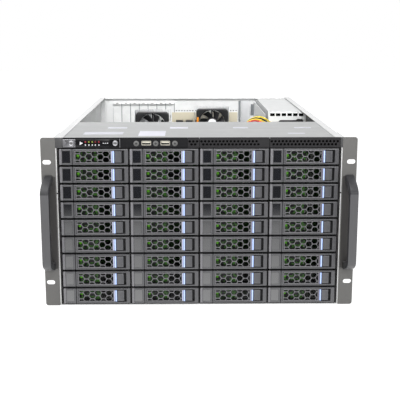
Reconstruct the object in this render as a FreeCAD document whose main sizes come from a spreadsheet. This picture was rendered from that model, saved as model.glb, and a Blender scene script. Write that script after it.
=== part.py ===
import FreeCAD, Part
import math
import os
import re
import Sketcher

# Rackmount storage chassis, six rack units high, with its rear cover off.
# X runs across, Y runs back from the front, Z is up, in millimetres.
# The origin lies under the middle of the chassis, at the height of its floor.

ROWS = 9
COLUMNS = 4
CARD_SLOTS = 7
DUCT_SLOTS = 12
SUPPLY_SLOTS = 6
BLADES = 7
BLADE_LEAN = 38
FINS = 12
CELL_COLUMNS = 6
LEADS = 4

doc = FreeCAD.newDocument("rack_storage_chassis")
sizes = doc.addObject("Spreadsheet::Sheet", "sizes")

driving = {
    # case
    "chassis_depth": 700,
    "bay_width": 107.2,
    "bay_height": 27.6,
    "strip_height": 15.8,
    "floor_gap": 1.7,
    "side_margin": 4.6,
    "sheet": 1.2,
    "top_flange": 12,
    "hem_width": 3,
    "hem_depth": 15,
    "plate_depth": 214,
    "plate_fold": 10,
    # rack ears and handles
    "ear_width": 22.3,
    "ear_sheet": 2,
    "ear_depth": 60,
    "ear_corner": 4,
    "slot_inset": 8.75,
    "slot_apart": 190.5,
    "slot_width": 7,
    "slot_length": 13,
    "handle_reach": 45,
    "handle_height": 150,
    "handle_bar": 12,
    "handle_width": 13,
    "handle_out": 11.7,
    "handle_corner": 15,
    "handle_edge": 1.5,
    # control strip
    "insert_left": 207,
    "insert_width": 86,
    "insert_height": 12,
    "insert_depth": 7,
    "insert_proud": 1,
    "button_radius": 4.1,
    "button_length": 7,
    "button_proud": 1.6,
    "button_inset": 13,
    "bore_gap": 0.3,
    "port_width": 14.4,
    "port_height": 6.8,
    "port_depth": 14,
    "port_wall": 0.6,
    "port_first": 80.5,
    "port_pitch": 28.8,
    # drive trays and the cage they slide in
    "tray_gap_across": 2.6,
    "tray_gap_up": 2.4,
    "tray_proud": 1.5,
    "bezel_depth": 12,
    "rail_end": 186,
    "rail_sheet": 1.2,
    "rail_height": 23.5,
    "drive_width": 102,
    "ledge_reach": 1.7,
    "ledge_sheet": 1,
    "slide_gap": 0.3,
    "cage_front": 6,
    "cage_end": 196,
    "label_left": 4.3,
    "label_width": 12.4,
    "label_height": 18.7,
    "label_recess": 0.8,
    "recess_left": 23,
    "recess_width": 75.6,
    "recess_height": 20,
    "recess_depth": 6,
    "window_inset": 2.4,
    "window_width": 52.5,
    "lever_width": 60.4,
    "lever_sheet": 3.2,
    "lever_gap": 0.4,
    "cell_radius": 4.8,
    "cell_first": 5.4,
    "cell_column": 8.68,
    "cell_row": 10,
    "status_left": 22.5,
    "status_width": 35.5,
    "status_height": 21,
    "status_sheet": 1.6,
    "pin_radius": 1.3,
    "pin_length": 1.4,
    "pin_inset": 3.6,
    "pin_gap": 0.2,
    "pin_end_gap": 0.6,
    "latch_width": 10.6,
    "latch_depth": 4.6,
    "backplane_sheet": 2,
    "connector_width": 44,
    "connector_height": 7,
    "connector_depth": 7,
    "connector_lift": 2,
    "vent_inset": 8,
    "vent_width": 9,
    # fan wall behind the drive cage
    "fan_wall_at": 224,
    "fan_wall_height": 236,
    "fan_size": 120,
    "fan_depth": 25,
    "fan_bore": 58,
    "fan_pitch": 138,
    "hub_radius": 20,
    "hub_depth": 16,
    "blade_tip": 55.5,
    "blade_chord": 24,
    "blade_sheet": 1.6,
    "mount_depth": 4,
    "strut_width": 5,
    "strut_root": 0.5,
    "blade_root": 2,
    # upper rear bay
    "deck_at": 330,
    "deck_height": 177,
    "deck_fold": 15,
    "bracket_at": 136,
    "bracket_height": 80,
    "psu_width": 75,
    "psu_height": 86,
    "psu_front": 405,
    "psu_slot_width": 7.8,
    "psu_slot_height": 4.2,
    "psu_slot_depth": 3,
    "psu_slot_inset": 4.2,
    "psu_slot_gap": 3.6,
    "psu_slot_drop": 3.8,
    "board_width": 300,
    "board_depth": 330,
    "board_sheet": 1.6,
    "board_right": 104,
    "board_back": 9,
    "standoff": 6.5,
    "standoff_radius": 3.2,
    "standoff_inset": 18,
    "memory_width": 6.5,
    "memory_length": 140,
    "memory_height": 9,
    "memory_pitch": 10,
    "memory_inset": 20,
    "memory_bank": 160,
    "memory_near": 12,
    "card_width": 7.5,
    "card_length": 85,
    "card_height": 11,
    "card_back": 88,
    "socket_width": 13,
    "socket_length": 52,
    "socket_height": 12,
    "socket_inset": 25.5,
    "socket_near": 2,
    "stack_width": 16,
    "stack_height": 29,
    "stack_pitch": 22,
    "stack_inset": 9.5,
    "wide_port_width": 31,
    "wide_port_height": 13,
    "wide_port_pitch": 38,
    "wide_port_inset": 83.5,
    "rear_port_depth": 21,
    "cooler_left": 93,
    "cooler_left_at": 169,
    "cooler_right": 37,
    "cooler_right_at": 237,
    "cooler_width": 76,
    "cooler_height": 64,
    "cooler_depth": 48,
    "cooler_base": 8,
    "fin_sheet": 1.2,
    "shroud_width": 70,
    "shroud_height": 62,
    "shroud_depth": 20,
    "shroud_bore": 29,
    "shroud_lift": 1,
    "rotor_gap": 2,
    "cooler_hub": 12,
    "cooler_tip": 27.4,
    "cooler_chord": 15,
    # rear panel
    "slot_pitch": 20.32,
    "card_inset": 37.8,
    "cover_width": 18.6,
    "cover_height": 71,
    "cover_sheet": 1,
    "cover_tab": 11,
    "slot_opening": 13,
    "io_middle": 22.5,
    "io_width": 152,
    "io_height": 50,
    "rim": 4,
    "duct_slot_width": 9,
    "duct_slot_height": 110,
    "duct_slot_pitch": 30,
    "duct_slot_low": 30,
    # leads from the power supply
    "lead_radius": 1.8,
    "lead_pitch": 5,
    "lead_forward": 24,
    "lead_crest": 5.5,
    "lead_fall": 1.6,
    "lead_spread": 3,
    "lead_inset": 12,
    "lead_under": 26,
    "lead_drop": 20,
}

for row, (name, value) in enumerate(driving.items(), start=1):
    sizes.set(f"A{row}", name)
    sizes.set(f"B{row}", str(value))
    sizes.setAlias(f"B{row}", name)
doc.recompute()

alias_words = re.compile(r"\b(" + "|".join(sorted(driving, key=len, reverse=True)) + r")\b")

# Lengths that follow from the driving ones.
height = f"(floor_gap + {ROWS} * bay_height + strip_height)"
half_case = f"({COLUMNS} * bay_width / 2 + side_margin)"
half_inside = f"({half_case} - sheet)"
front = "((handle_reach - chassis_depth) / 2)"
strip_low = f"({height} - strip_height)"
strip_middle = f"(({strip_low} + {height} - sheet) / 2)"
tray_width = "(bay_width - tray_gap_across)"
tray_height = "(bay_height - tray_gap_up)"
tray_low = "(ledge_sheet + slide_gap)"
tray_middle = f"({tray_low} + {tray_height} / 2)"
board_low = "(deck_height + standoff)"
board_top = f"({board_low} + board_sheet)"
board_near = "(chassis_depth - board_back - board_depth)"
panel_inside = "(chassis_depth - sheet)"
ear_edge = f"({half_case} + ear_width)"
card_first = f"(card_inset - {half_inside})"
port_left = "(io_middle - io_width / 2)"


def formula(text):
    """Point each size named in the text at its cell."""
    return alias_words.sub(r"sizes.\1", text)


def number(text):
    """The value of a formula, worked out from the sheet."""
    return float(sizes.evalExpression(formula(text).replace("sizes.", "")))


def bind(thing, **lengths):
    """Drive properties of an object by formulas."""
    for key, text in lengths.items():
        thing.setExpression(key, formula(text))
    return thing


def move(thing, x="0", y="0", z="0"):
    """Drive an object's place by formulas."""
    for axis, text in zip("xyz", (x, y, z)):
        thing.setExpression(f"Placement.Base.{axis}", formula(text))
    return thing


def block(name, size, at):
    """A block from its lowest corner."""
    made = doc.addObject("Part::Box", name)
    bind(made, Length=size[0], Width=size[1], Height=size[2])
    return move(made, *at)


def turned(thing, axis, angle):
    """Turn an object about an axis through its own origin."""
    thing.Placement = FreeCAD.Placement(FreeCAD.Vector(), FreeCAD.Rotation(axis, angle))
    return thing


def rod(name, radius, length, at):
    """A cylinder that runs back along Y."""
    made = doc.addObject("Part::Cylinder", name)
    turned(made, FreeCAD.Vector(1, 0, 0), -90)
    bind(made, Radius=radius, Height=length)
    return move(made, *at)


def group(name, things):
    """Separate solids that make one sub-part."""
    made = doc.addObject("Part::Compound", name)
    made.Links = things
    return made


def fuse(name, things):
    made = doc.addObject("Part::MultiFuse", name)
    made.Shapes = things
    made.Refine = True
    return made


def cut(name, base, tools):
    made = doc.addObject("Part::Cut", name)
    made.Base = base
    made.Tool = tools[0] if len(tools) == 1 else group(name + "_tools", tools)
    made.Refine = True
    return made


def plane_of(body, role):
    return next(f for f in body.Origin.OriginFeatures if f.Role == role)


def sketch_on(body, name, role, offset=None):
    """A sketch on one of the body's own planes, moved along its normal by a formula."""
    made = body.newObject("Sketcher::SketchObject", name)
    made.AttachmentSupport = (plane_of(body, role), "")
    made.MapMode = "FlatFace"
    if offset:
        made.setExpression("AttachmentOffset.Base.z", formula(offset))
    return made


def outline(sketch, corners):
    """A closed outline with each corner placed by two formulas."""
    spots = [FreeCAD.Vector(number(x), number(y), 0) for x, y in corners]
    count = len(spots)
    start = sketch.GeometryCount
    for n in range(count):
        sketch.addGeometry(Part.LineSegment(spots[n], spots[(n + 1) % count]), False)
    for n in range(count):
        following = start + (n + 1) % count
        sketch.addConstraint(Sketcher.Constraint("Coincident", start + n, 2, following, 1))
    for n, (x, y) in enumerate(corners):
        for kind, text, value in (("DistanceX", x, spots[n].x), ("DistanceY", y, spots[n].y)):
            held = sketch.addConstraint(Sketcher.Constraint(kind, -1, 1, start + n, 1, value))
            sketch.setExpression(f"Constraints[{held}]", formula(text))
    return sketch


def rectangle(sketch, x, y, wide, high):
    """A rectangle from its lowest corner."""
    right = f"{x} + {wide}"
    top = f"{y} + {high}"
    return outline(sketch, [(x, y), (right, y), (right, top), (x, top)])


def pad(body, sketch, length, backwards=False):
    made = body.newObject("PartDesign::Pad", sketch.Name + "_pad")
    made.Profile = sketch
    made.Reversed = backwards
    bind(made, Length=length)
    sketch.Visibility = False
    return made


def pocket(body, sketch, length):
    made = body.newObject("PartDesign::Pocket", sketch.Name + "_pocket")
    made.Profile = sketch
    bind(made, Length=length)
    return made


nodes = []


def node(thing, label, x="0", y="0", z="0"):
    """Name a sub-part and place it, with y measured from the front of the ears."""
    thing.Label = label
    move(thing, x, f"{front} + {y}", z)
    nodes.append(thing)
    return thing


# Floor and side walls, bent from one sheet, with hems at the front edges.
def base_pan():
    body = doc.addObject("PartDesign::Body", "pan")
    lip = f"({half_case} - top_flange)"
    under = f"({height} - sheet)"
    right = [
        (half_case, "0"),
        (half_case, height),
        (lip, height),
        (lip, under),
        (half_inside, under),
        (half_inside, "sheet"),
    ]
    left = [(f"-{x}", z) for x, z in reversed(right)]
    pad(body, outline(sketch_on(body, "pan_profile", "XZ_Plane"), right + left),
        "chassis_depth - sheet", True)
    hems = sketch_on(body, "pan_hems", "XZ_Plane")
    high = f"({strip_low} - sheet)"
    rectangle(hems, f"({half_case} - hem_width)", "sheet", "(hem_width - sheet)", high)
    rectangle(hems, f"-{half_inside}", "sheet", "(hem_width - sheet)", high)
    pad(body, hems, "hem_depth", True)
    return node(body, "base_pan", y="sheet")


# Ear with two rack slots, bent back along the outside of the wall.
def rack_ears():
    ears = []
    for side, sign in (("left", "-"), ("right", "")):
        body = doc.addObject("PartDesign::Body", f"ear_{side}")
        section = [
            (half_case, "0"),
            (ear_edge, "0"),
            (ear_edge, "ear_sheet"),
            (f"({half_case} + ear_sheet)", "ear_sheet"),
            (f"({half_case} + ear_sheet)", "ear_depth"),
            (half_case, "ear_depth"),
        ]
        plan = outline(sketch_on(body, f"ear_{side}_plan", "XY_Plane"),
                       [(f"{sign}({x})", y) for x, y in section])
        bent = pad(body, plan, height)
        doc.recompute()
        tall = number(height)
        edge = number(ear_edge)
        corners = []
        for n, e in enumerate(bent.Shape.Edges, start=1):
            middle = e.CenterOfMass
            if abs(abs(middle.x) - edge) < 0.01 and min(middle.z, tall - middle.z) < 0.01:
                corners.append(f"Edge{n}")
        rounded = body.newObject("PartDesign::Fillet", f"ear_{side}_corners")
        rounded.Base = (bent, corners)
        bind(rounded, Radius="ear_corner")
        face = sketch_on(body, f"ear_{side}_slots", "XZ_Plane")
        for turn in ("-", "+"):
            rack_slot(face, f"{sign}({ear_edge} - slot_inset)",
                      f"{height} / 2 {turn} slot_apart / 2")
        pocket(body, face, "ear_sheet")
        ears.append(body)
    return node(group("ears", ears), "rack_ears")


def rack_slot(sketch, x, z):
    """A level slot with round ends about its middle."""
    half_run = number("(slot_length - slot_width) / 2")
    radius = number("slot_width / 2")
    middle = FreeCAD.Vector(number(x), number(z), 0)
    first = sketch.GeometryCount
    along = FreeCAD.Vector(half_run, 0, 0)
    up = FreeCAD.Vector(0, radius, 0)
    normal = FreeCAD.Vector(0, 0, 1)
    half_turn = math.pi / 2
    sketch.addGeometry(Part.LineSegment(middle - along - up, middle + along - up), False)
    sketch.addGeometry(Part.ArcOfCircle(Part.Circle(middle + along, normal, radius),
                                        -half_turn, half_turn), False)
    sketch.addGeometry(Part.LineSegment(middle + along + up, middle - along + up), False)
    sketch.addGeometry(Part.ArcOfCircle(Part.Circle(middle - along, normal, radius),
                                        half_turn, 3 * half_turn), False)
    lower, right_end, upper, left_end = range(first, first + 4)
    for line, arc in ((lower, right_end), (upper, left_end)):
        sketch.addConstraint(Sketcher.Constraint("Tangent", line, 2, arc, 1))
    for arc, line in ((right_end, upper), (left_end, lower)):
        sketch.addConstraint(Sketcher.Constraint("Tangent", arc, 2, line, 1))
    sketch.addConstraint(Sketcher.Constraint("Horizontal", lower))
    held = sketch.addConstraint(Sketcher.Constraint("Radius", right_end, radius))
    sketch.setExpression(f"Constraints[{held}]", formula("slot_width / 2"))
    for arc, sign in ((right_end, "+"), (left_end, "-")):
        text = f"{x} {sign} (slot_length - slot_width) / 2"
        spot = number(text)
        held = sketch.addConstraint(Sketcher.Constraint("DistanceX", -1, 1, arc, 3, spot))
        sketch.setExpression(f"Constraints[{held}]", formula(text))
    held = sketch.addConstraint(Sketcher.Constraint("DistanceY", -1, 1, right_end, 3, middle.y))
    sketch.setExpression(f"Constraints[{held}]", formula(z))


# Pull handle on each ear: a bow that leans back to its feet.
def pull_handles():
    bows = []
    for side, sign in (("left", "-"), ("right", "")):
        body = doc.addObject("PartDesign::Body", f"handle_{side}")
        foot = "handle_height / 2"
        inner = "(handle_reach - handle_bar)"
        upper = [
            ("0", f"({foot} - handle_bar)"),
            ("0", foot),
            ("-(handle_reach - handle_corner)", f"({foot} - handle_corner / 5)"),
            ("-handle_reach", f"({foot} - handle_corner)"),
        ]
        hollow = [
            (f"-{inner}", f"({foot} - handle_corner - handle_bar / 2)"),
            (f"-({inner} - handle_corner / 2)", f"({foot} - handle_bar - handle_corner / 5)"),
        ]
        lower = [(y, f"-{z}") for y, z in reversed(upper)]
        lower_hollow = [(y, f"-{z}") for y, z in reversed(hollow)]
        profile = sketch_on(body, f"handle_{side}_bow", "YZ_Plane")
        outline(profile, upper + lower + lower_hollow + hollow)
        bow = pad(body, profile, "handle_width")
        bow.Midplane = True
        doc.recompute()
        broken = body.newObject("PartDesign::Chamfer", f"handle_{side}_edges")
        broken.Base = (bow, long_edges(bow))
        bind(broken, Size="handle_edge")
        move(body, f"{sign}({half_case} + handle_out)", "0", f"{height} / 2")
        bows.append(body)
    return node(group("handles", bows), "pull_handles")


def long_edges(bow):
    """The edges round the bow's two flanks, apart from those on the ear."""
    found = []
    for n, e in enumerate(bow.Shape.Edges, start=1):
        flank = e.BoundBox.XLength < 0.01
        on_ear = e.BoundBox.YLength < 0.01 and abs(e.CenterOfMass.y) < 0.01
        touching = any(abs(v.Point.y) < 0.01 for v in e.Vertexes)
        if flank and not on_ear and not touching:
            found.append(f"Edge{n}")
    return found


# Plate over the drive cage, folded down at its rear edge.
def top_plate():
    body = doc.addObject("PartDesign::Body", "plate")
    top = f"({height} - sheet)"
    low = f"({height} - 2 * sheet)"
    section = [
        ("sheet", low),
        ("(plate_depth - sheet)", low),
        ("(plate_depth - sheet)", f"({top} - plate_fold)"),
        ("plate_depth", f"({top} - plate_fold)"),
        ("plate_depth", top),
        ("sheet", top),
    ]
    profile = outline(sketch_on(body, "plate_profile", "YZ_Plane"), section)
    made = pad(body, profile, f"2 * {half_inside}")
    made.Midplane = True
    return node(body, "top_plate")


# Strip above the trays, folded back along its lower edge.
def control_strip():
    body = doc.addObject("PartDesign::Body", "strip")
    section = [
        ("0", strip_low),
        ("hem_depth", strip_low),
        ("hem_depth", f"({strip_low} + sheet)"),
        ("sheet", f"({strip_low} + sheet)"),
        ("sheet", height),
        ("0", height),
    ]
    profile = outline(sketch_on(body, "strip_profile", "YZ_Plane"), section)
    made = pad(body, profile, f"2 * ({half_case} - hem_width)")
    made.Midplane = True
    face = sketch_on(body, "strip_ends", "XZ_Plane")
    rectangle(face, f"({half_case} - hem_width)", strip_low, "hem_width", "strip_height")
    rectangle(face, f"-{half_case}", strip_low, "hem_width", "strip_height")
    pad(body, face, "sheet", True)
    holes = sketch_on(body, "strip_windows", "XZ_Plane")
    low = f"({strip_middle} - insert_height / 2)"
    rectangle(holes, "-insert_left", low, "insert_width", "insert_height")
    for n in range(2):
        left = f"(-port_first + {n} * port_pitch - port_width / 2)"
        rectangle(holes, left, f"({strip_middle} - port_height / 2)", "port_width", "port_height")
    pocket(body, holes, "sheet")
    return node(body, "control_strip")


# Insert with two button bores, and the two port shells beside it.
def control_panel():
    plate = block("insert_block", ("insert_width", "insert_depth", "insert_height"),
                  ("-insert_left", "-insert_proud", f"{strip_middle} - insert_height / 2"))
    bores = []
    for n, x in enumerate(button_places):
        bores.append(rod(f"button_bore_{n + 1}", "button_radius + bore_gap", "insert_depth",
                         (x, "-insert_proud", strip_middle)))
    pieces = [cut("insert", plate, bores)]
    for n in range(2):
        x = f"(-port_first + {n} * port_pitch)"
        shell = block(f"port_block_{n + 1}", ("port_width", "port_depth", "port_height"),
                      (f"{x} - port_width / 2", "0", f"{strip_middle} - port_height / 2"))
        wide = "(port_width - 2 * port_wall)"
        high = "(port_height - 2 * port_wall)"
        room = block(f"port_room_{n + 1}", (wide, "port_depth - port_wall", high),
                     (f"{x} - {wide} / 2", "0", f"{strip_middle} - {high} / 2"))
        pieces.append(cut(f"port_{n + 1}", shell, [room]))
    return node(group("panel", pieces), "control_panel")


button_places = ("(button_inset - insert_left)", "(insert_width - insert_left - button_inset / 2)")


def buttons():
    for label, x in zip(("power_button", "reset_button"), button_places):
        made = rod(label + "_rod", "button_radius", "button_length", ("0", "0", "0"))
        node(group(label + "_cap", [made]), label, x, "(0 - insert_proud - button_proud)",
             strip_middle)


# Tray in its own frame: x from its middle, y from the ears, z from the floor of its bay.
def bezel(name):
    body = doc.addObject("PartDesign::Body", name)
    left = f"(-{tray_width} / 2)"
    face = rectangle(sketch_on(body, f"{name}_face", "XZ_Plane"),
                     left, tray_low, tray_width, tray_height)
    pad(body, face, "bezel_depth", True)
    recess = sketch_on(body, f"{name}_recess", "XZ_Plane")
    rectangle(recess, f"({left} + recess_left)", f"({tray_middle} - recess_height / 2)",
              "recess_width", "recess_height")
    pocket(body, recess, "recess_depth")
    label = sketch_on(body, f"{name}_label", "XZ_Plane")
    rectangle(label, f"({left} + label_left)", f"({tray_middle} - label_height / 2)",
              "label_width", "label_height")
    pocket(body, label, "label_recess")
    window = sketch_on(body, f"{name}_window", "XZ_Plane")
    high = "(recess_height - window_inset)"
    rectangle(window, f"({left} + recess_left + window_inset)", f"({tray_middle} - {high} / 2)",
              "window_width", high)
    pocket(body, window, "bezel_depth")
    return move(body, "0", "-tray_proud", "0")


lever_left = f"(recess_left + lever_gap - {tray_width} / 2)"
lever_high = "(recess_height - 2 * lever_gap)"


# Lever with a honeycomb grille: columns of one and two cells in turn.
def lever(name):
    plate = block(f"{name}_plate", ("lever_width", "lever_sheet", lever_high),
                  (lever_left, "-tray_proud", f"{tray_middle} - {lever_high} / 2"))
    cells = []
    for column in range(CELL_COLUMNS):
        for row in range(1 + column % 2):
            cell = doc.addObject("Part::Prism", f"{name}_cell_{column}_{row}")
            cell.Polygon = 6
            turned(cell, FreeCAD.Vector(1, 0, 0), -90)
            bind(cell, Circumradius="cell_radius", Height="lever_sheet")
            lift = "0" if column % 2 == 0 else f"({row} - 0.5) * cell_row"
            across = f"({lever_left} + cell_first + {column} * cell_column)"
            move(cell, across, "-tray_proud", f"{tray_middle} + {lift}")
            cells.append(cell)
    return cut(name, plate, cells)


latch_left = f"({lever_left} + lever_width + lever_gap)"


def latch(name):
    return block(name, ("latch_width", "latch_depth", lever_high),
                 (latch_left, "-tray_proud", f"{tray_middle} - {lever_high} / 2"))


# Small circuit board on the back of the bezel, behind the left part of the grille.
def status_board(name):
    return block(name, ("status_width", "status_sheet", "status_height"),
                 (f"status_left - {tray_width} / 2", "bezel_depth - tray_proud",
                  f"{tray_middle} - status_height / 2"))


def rail(name, side):
    run = "(rail_end + tray_proud - bezel_depth)"
    x = "drive_width / 2" if side > 0 else "-drive_width / 2 - rail_sheet"
    return block(name, ("rail_sheet", run, "rail_height"),
                 (x, "bezel_depth - tray_proud", tray_low))


def tray_place(row, column):
    """Middle and floor of a bay, counted from the top left one."""
    x = f"({column} - {(COLUMNS + 1) / 2}) * bay_width"
    return x, f"floor_gap + {ROWS - row} * bay_height"


# Every tray slides; the top left one has its lever and latch as pieces of their own.
def trays():
    rails = [rail("rail_left", -1), rail("rail_right", 1)]
    board = status_board("status_board")
    plain = [bezel("bezel"), *rails, board, lever("lever"), latch("latch")]
    pivot_x = f"({lever_left} + pin_inset)"
    pivot_y = "(lever_sheet / 2 - tray_proud)"
    pins = []
    bores = []
    for n, sign in enumerate((-1, 1)):
        rest = f"{tray_middle} + {sign} * {lever_high} / 2"
        down = "pin_length" if sign < 0 else "0"
        for made, radius, extra in (
            (pins, "pin_radius", "0"),
            (bores, "(pin_radius + pin_gap)", "pin_end_gap"),
        ):
            pin = doc.addObject("Part::Cylinder", f"pin_{n}_{len(made)}_{len(bores)}")
            bind(pin, Radius=radius, Height=f"pin_length + {extra}")
            move(pin, pivot_x, pivot_y, f"{rest} - {down} - {extra if sign < 0 else '0'}")
            made.append(pin)
    opened = [cut("pivot_bezel", bezel("pivot_blank"), bores), *rails, board]
    for row in range(1, ROWS + 1):
        for column in range(1, COLUMNS + 1):
            pieces = opened if (row, column) == (1, 1) else plain
            x, z = tray_place(row, column)
            name = f"drive_tray_r{row}_c{column}"
            node(group(name, pieces), name, x, "0", z)
    x, z = tray_place(1, 1)
    node(group("pivot_lever", [fuse("pinned_lever", [lever("free_lever"), *pins])]),
         "tray_lever", x, "0", z)
    node(group("free_latch", [latch("sliding_latch")]), "tray_latch", x, "0", z)


# Upright guides between the columns, each with a ledge under every rail.
def drive_cage():
    guides = []
    for n in range(COLUMNS + 1):
        middle = f"({n} - {COLUMNS / 2}) * bay_width"
        run = "(cage_end - cage_front)"
        wall = block(f"guide_{n}_wall", ("sheet", run, f"{strip_low} - sheet"),
                     (f"{middle} - sheet / 2", "cage_front", "sheet"))
        reach_left = "ledge_reach" if n > 0 else "0"
        reach_right = "ledge_reach" if n < COLUMNS else "0"
        wide = f"(sheet + {reach_left} + {reach_right})"
        ledges = []
        for row in range(ROWS):
            ledges.append(block(f"guide_{n}_ledge_{row}", (wide, run, "ledge_sheet"),
                                (f"{middle} - sheet / 2 - {reach_left}", "cage_front",
                                 f"floor_gap + {row} * bay_height")))
        guides.append(fuse(f"guide_{n}", [wall, *ledges]))
    return node(group("guides", guides), "drive_cage")


# Board behind the cage with a connector in every bay and air slots beside them.
def backplane():
    wide = f"({COLUMNS} * bay_width + sheet)"
    board = block("backplane_board", (wide, "backplane_sheet", f"{strip_low} - sheet"),
                  (f"-{wide} / 2", "0", "sheet"))
    slots = []
    sockets = []
    for column in range(1, COLUMNS + 1):
        x = tray_place(1, column)[0]
        for side in (-1, 1):
            at = f"({x} + {side} * (bay_width / 2 - vent_inset - vent_width / 2) - vent_width / 2)"
            slots.append(block(f"air_slot_{column}_{side + 1}",
                               ("vent_width", "backplane_sheet", f"{strip_low} - 6 * vent_inset"),
                               (at, "0", "3 * vent_inset")))
        for row in range(1, ROWS + 1):
            z = tray_place(row, column)[1]
            sockets.append(block(f"socket_{row}_{column}",
                                 ("connector_width", "connector_depth", "connector_height"),
                                 (f"{x} - connector_width / 2", "-connector_depth",
                                  f"{z} + {tray_low} + connector_lift")))
    return node(group("boards", [cut("slotted_board", board, slots), *sockets]), "backplane",
                y="cage_end")


# Fan frame about its own axis, with a motor mount on struts at the rear.
def fan_frame(name, wide, high, deep, bore, hub, deep_mount):
    blank = block(f"{name}_blank", (wide, deep, high), (f"-{wide} / 2", "0", f"-{high} / 2"))
    hole = rod(f"{name}_hole", bore, deep, ("0", "0", "0"))
    ring = cut(f"{name}_ring", blank, [hole])
    at = f"({deep} - {deep_mount})"
    mount = rod(f"{name}_mount", hub, deep_mount, ("0", at, "0"))
    struts = [
        block(f"{name}_strut_1", (f"2 * ({bore} + strut_root)", deep_mount, "strut_width"),
              (f"-{bore} - strut_root", at, "-strut_width / 2")),
        block(f"{name}_strut_2", ("strut_width", deep_mount, f"2 * ({bore} + strut_root)"),
              ("-strut_width / 2", at, f"-{bore} - strut_root")),
    ]
    return fuse(name, [ring, mount, *struts])


# Fan rotor about its own axis: a hub with leaning blades.
def fan_rotor(name, hub, deep, tip, chord):
    core = rod(f"{name}_hub", hub, deep, ("0", "0", "0"))
    sheet = block(f"{name}_sheet", (f"{tip} - {hub} + blade_root", "blade_sheet", chord),
                  (f"{hub} - blade_root", "-blade_sheet / 2", f"-{chord} / 2"))
    leaning = turned(group(f"{name}_leaning", [sheet]), FreeCAD.Vector(1, 0, 0), BLADE_LEAN)
    move(leaning, "0", f"{deep} / 2", "0")
    blades = []
    for n in range(BLADES):
        blade = group(f"{name}_blade_{n}", [leaning])
        blades.append(turned(blade, FreeCAD.Vector(0, 1, 0), n * 360 / BLADES))
    return fuse(name, [core, *blades])


def fan_wall():
    wall = block("fan_sheet", (f"2 * {half_inside}", "sheet", "fan_wall_height - sheet"),
                 (f"-{half_inside}", "0", "sheet"))
    middle = "(fan_wall_height / 2)"
    holes = []
    frames = []
    places = [f"{n - 1} * fan_pitch" for n in range(3)]
    for n, x in enumerate(places, start=1):
        holes.append(rod(f"wall_hole_{n}", "fan_bore", "sheet", (x, "0", middle)))
        frame = fan_frame(f"fan_frame_{n}", "fan_size", "fan_size", "fan_depth", "fan_bore",
                          "hub_radius", "mount_depth")
        frames.append(move(frame, x, "sheet", middle))
    node(group("fans", [cut("pierced_sheet", wall, holes), *frames]), "fan_wall", y="fan_wall_at")
    gap = "(fan_depth - mount_depth - slide_gap - hub_depth)"
    for n, x in enumerate(places, start=1):
        rotor = fan_rotor(f"wall_rotor_{n}", "hub_radius", "hub_depth", "blade_tip",
                          "blade_chord")
        node(rotor, f"fan_rotor_{n}", x, f"fan_wall_at + sheet + {gap}", middle)


# Deck that carries the board and the power supply, with a bracket between them.
def board_deck():
    body = doc.addObject("PartDesign::Body", "deck")
    low = "(deck_height - sheet)"
    section = [
        ("deck_at", "(deck_height - deck_fold)"),
        ("(deck_at + sheet)", "(deck_height - deck_fold)"),
        ("(deck_at + sheet)", low),
        (panel_inside, low),
        (panel_inside, "deck_height"),
        ("deck_at", "deck_height"),
    ]
    profile = outline(sketch_on(body, "deck_profile", "YZ_Plane"), section)
    made = pad(body, profile, f"2 * {half_inside}")
    made.Midplane = True
    upright = sketch_on(body, "deck_bracket", "XZ_Plane", f"-{panel_inside}")
    rectangle(upright, "bracket_at", low, "sheet", "(bracket_height + sheet)")
    pad(body, upright, f"{panel_inside} - psu_front")
    posts = []
    left = "(board_right - board_width + standoff_inset)"
    near = f"({board_near} + standoff_inset)"
    for n in range(3):
        for m in range(2):
            post = doc.addObject("Part::Prism", f"standoff_{n}_{m}")
            post.Polygon = 6
            bind(post, Circumradius="standoff_radius", Height="standoff")
            move(post, f"{left} + {n} * (board_width / 2 - standoff_inset)",
                 f"{near} + {m} * (board_depth - 2 * standoff_inset)", "deck_height")
            posts.append(post)
    return node(group("deck_with_posts", [body, *posts]), "board_deck")


# Main board with its sockets, slots and rear connectors.
def motherboard():
    left = "(board_right - board_width)"
    near = board_near
    pieces = [block("board", ("board_width", "board_depth", "board_sheet"), (left, near, board_low))]
    for bank in range(2):
        for n in range(4):
            x = f"({left} + memory_inset + {bank} * memory_bank + {n} * memory_pitch)"
            pieces.append(block(f"memory_slot_{bank}_{n}",
                                ("memory_width", "memory_length", "memory_height"),
                                (x, f"{near} + memory_near", board_top)))
    for n in range(CARD_SLOTS - 1):
        x = f"({card_first} + {n} * slot_pitch)"
        pieces.append(block(f"card_slot_{n}", ("card_width", "card_length", "card_height"),
                            (f"{x} - card_width / 2", "chassis_depth - board_back - card_back",
                             board_top)))
    pieces.append(block("power_socket", ("socket_width", "socket_length", "socket_height"),
                        ("board_right - socket_inset", f"{near} + socket_near", board_top)))
    back = f"({panel_inside} - cover_sheet - rear_port_depth)"
    for n in range(3):
        pieces.append(block(f"stacked_port_{n}", ("stack_width", "rear_port_depth", "stack_height"),
                            (f"{port_left} + stack_inset + {n} * stack_pitch", back, board_top)))
    for n in range(2):
        pieces.append(block(f"wide_port_{n}",
                            ("wide_port_width", "rear_port_depth", "wide_port_height"),
                            (f"{port_left} + wide_port_inset + {n} * wide_port_pitch", back,
                             board_top)))
    return node(group("board_set", pieces), "motherboard")


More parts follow.
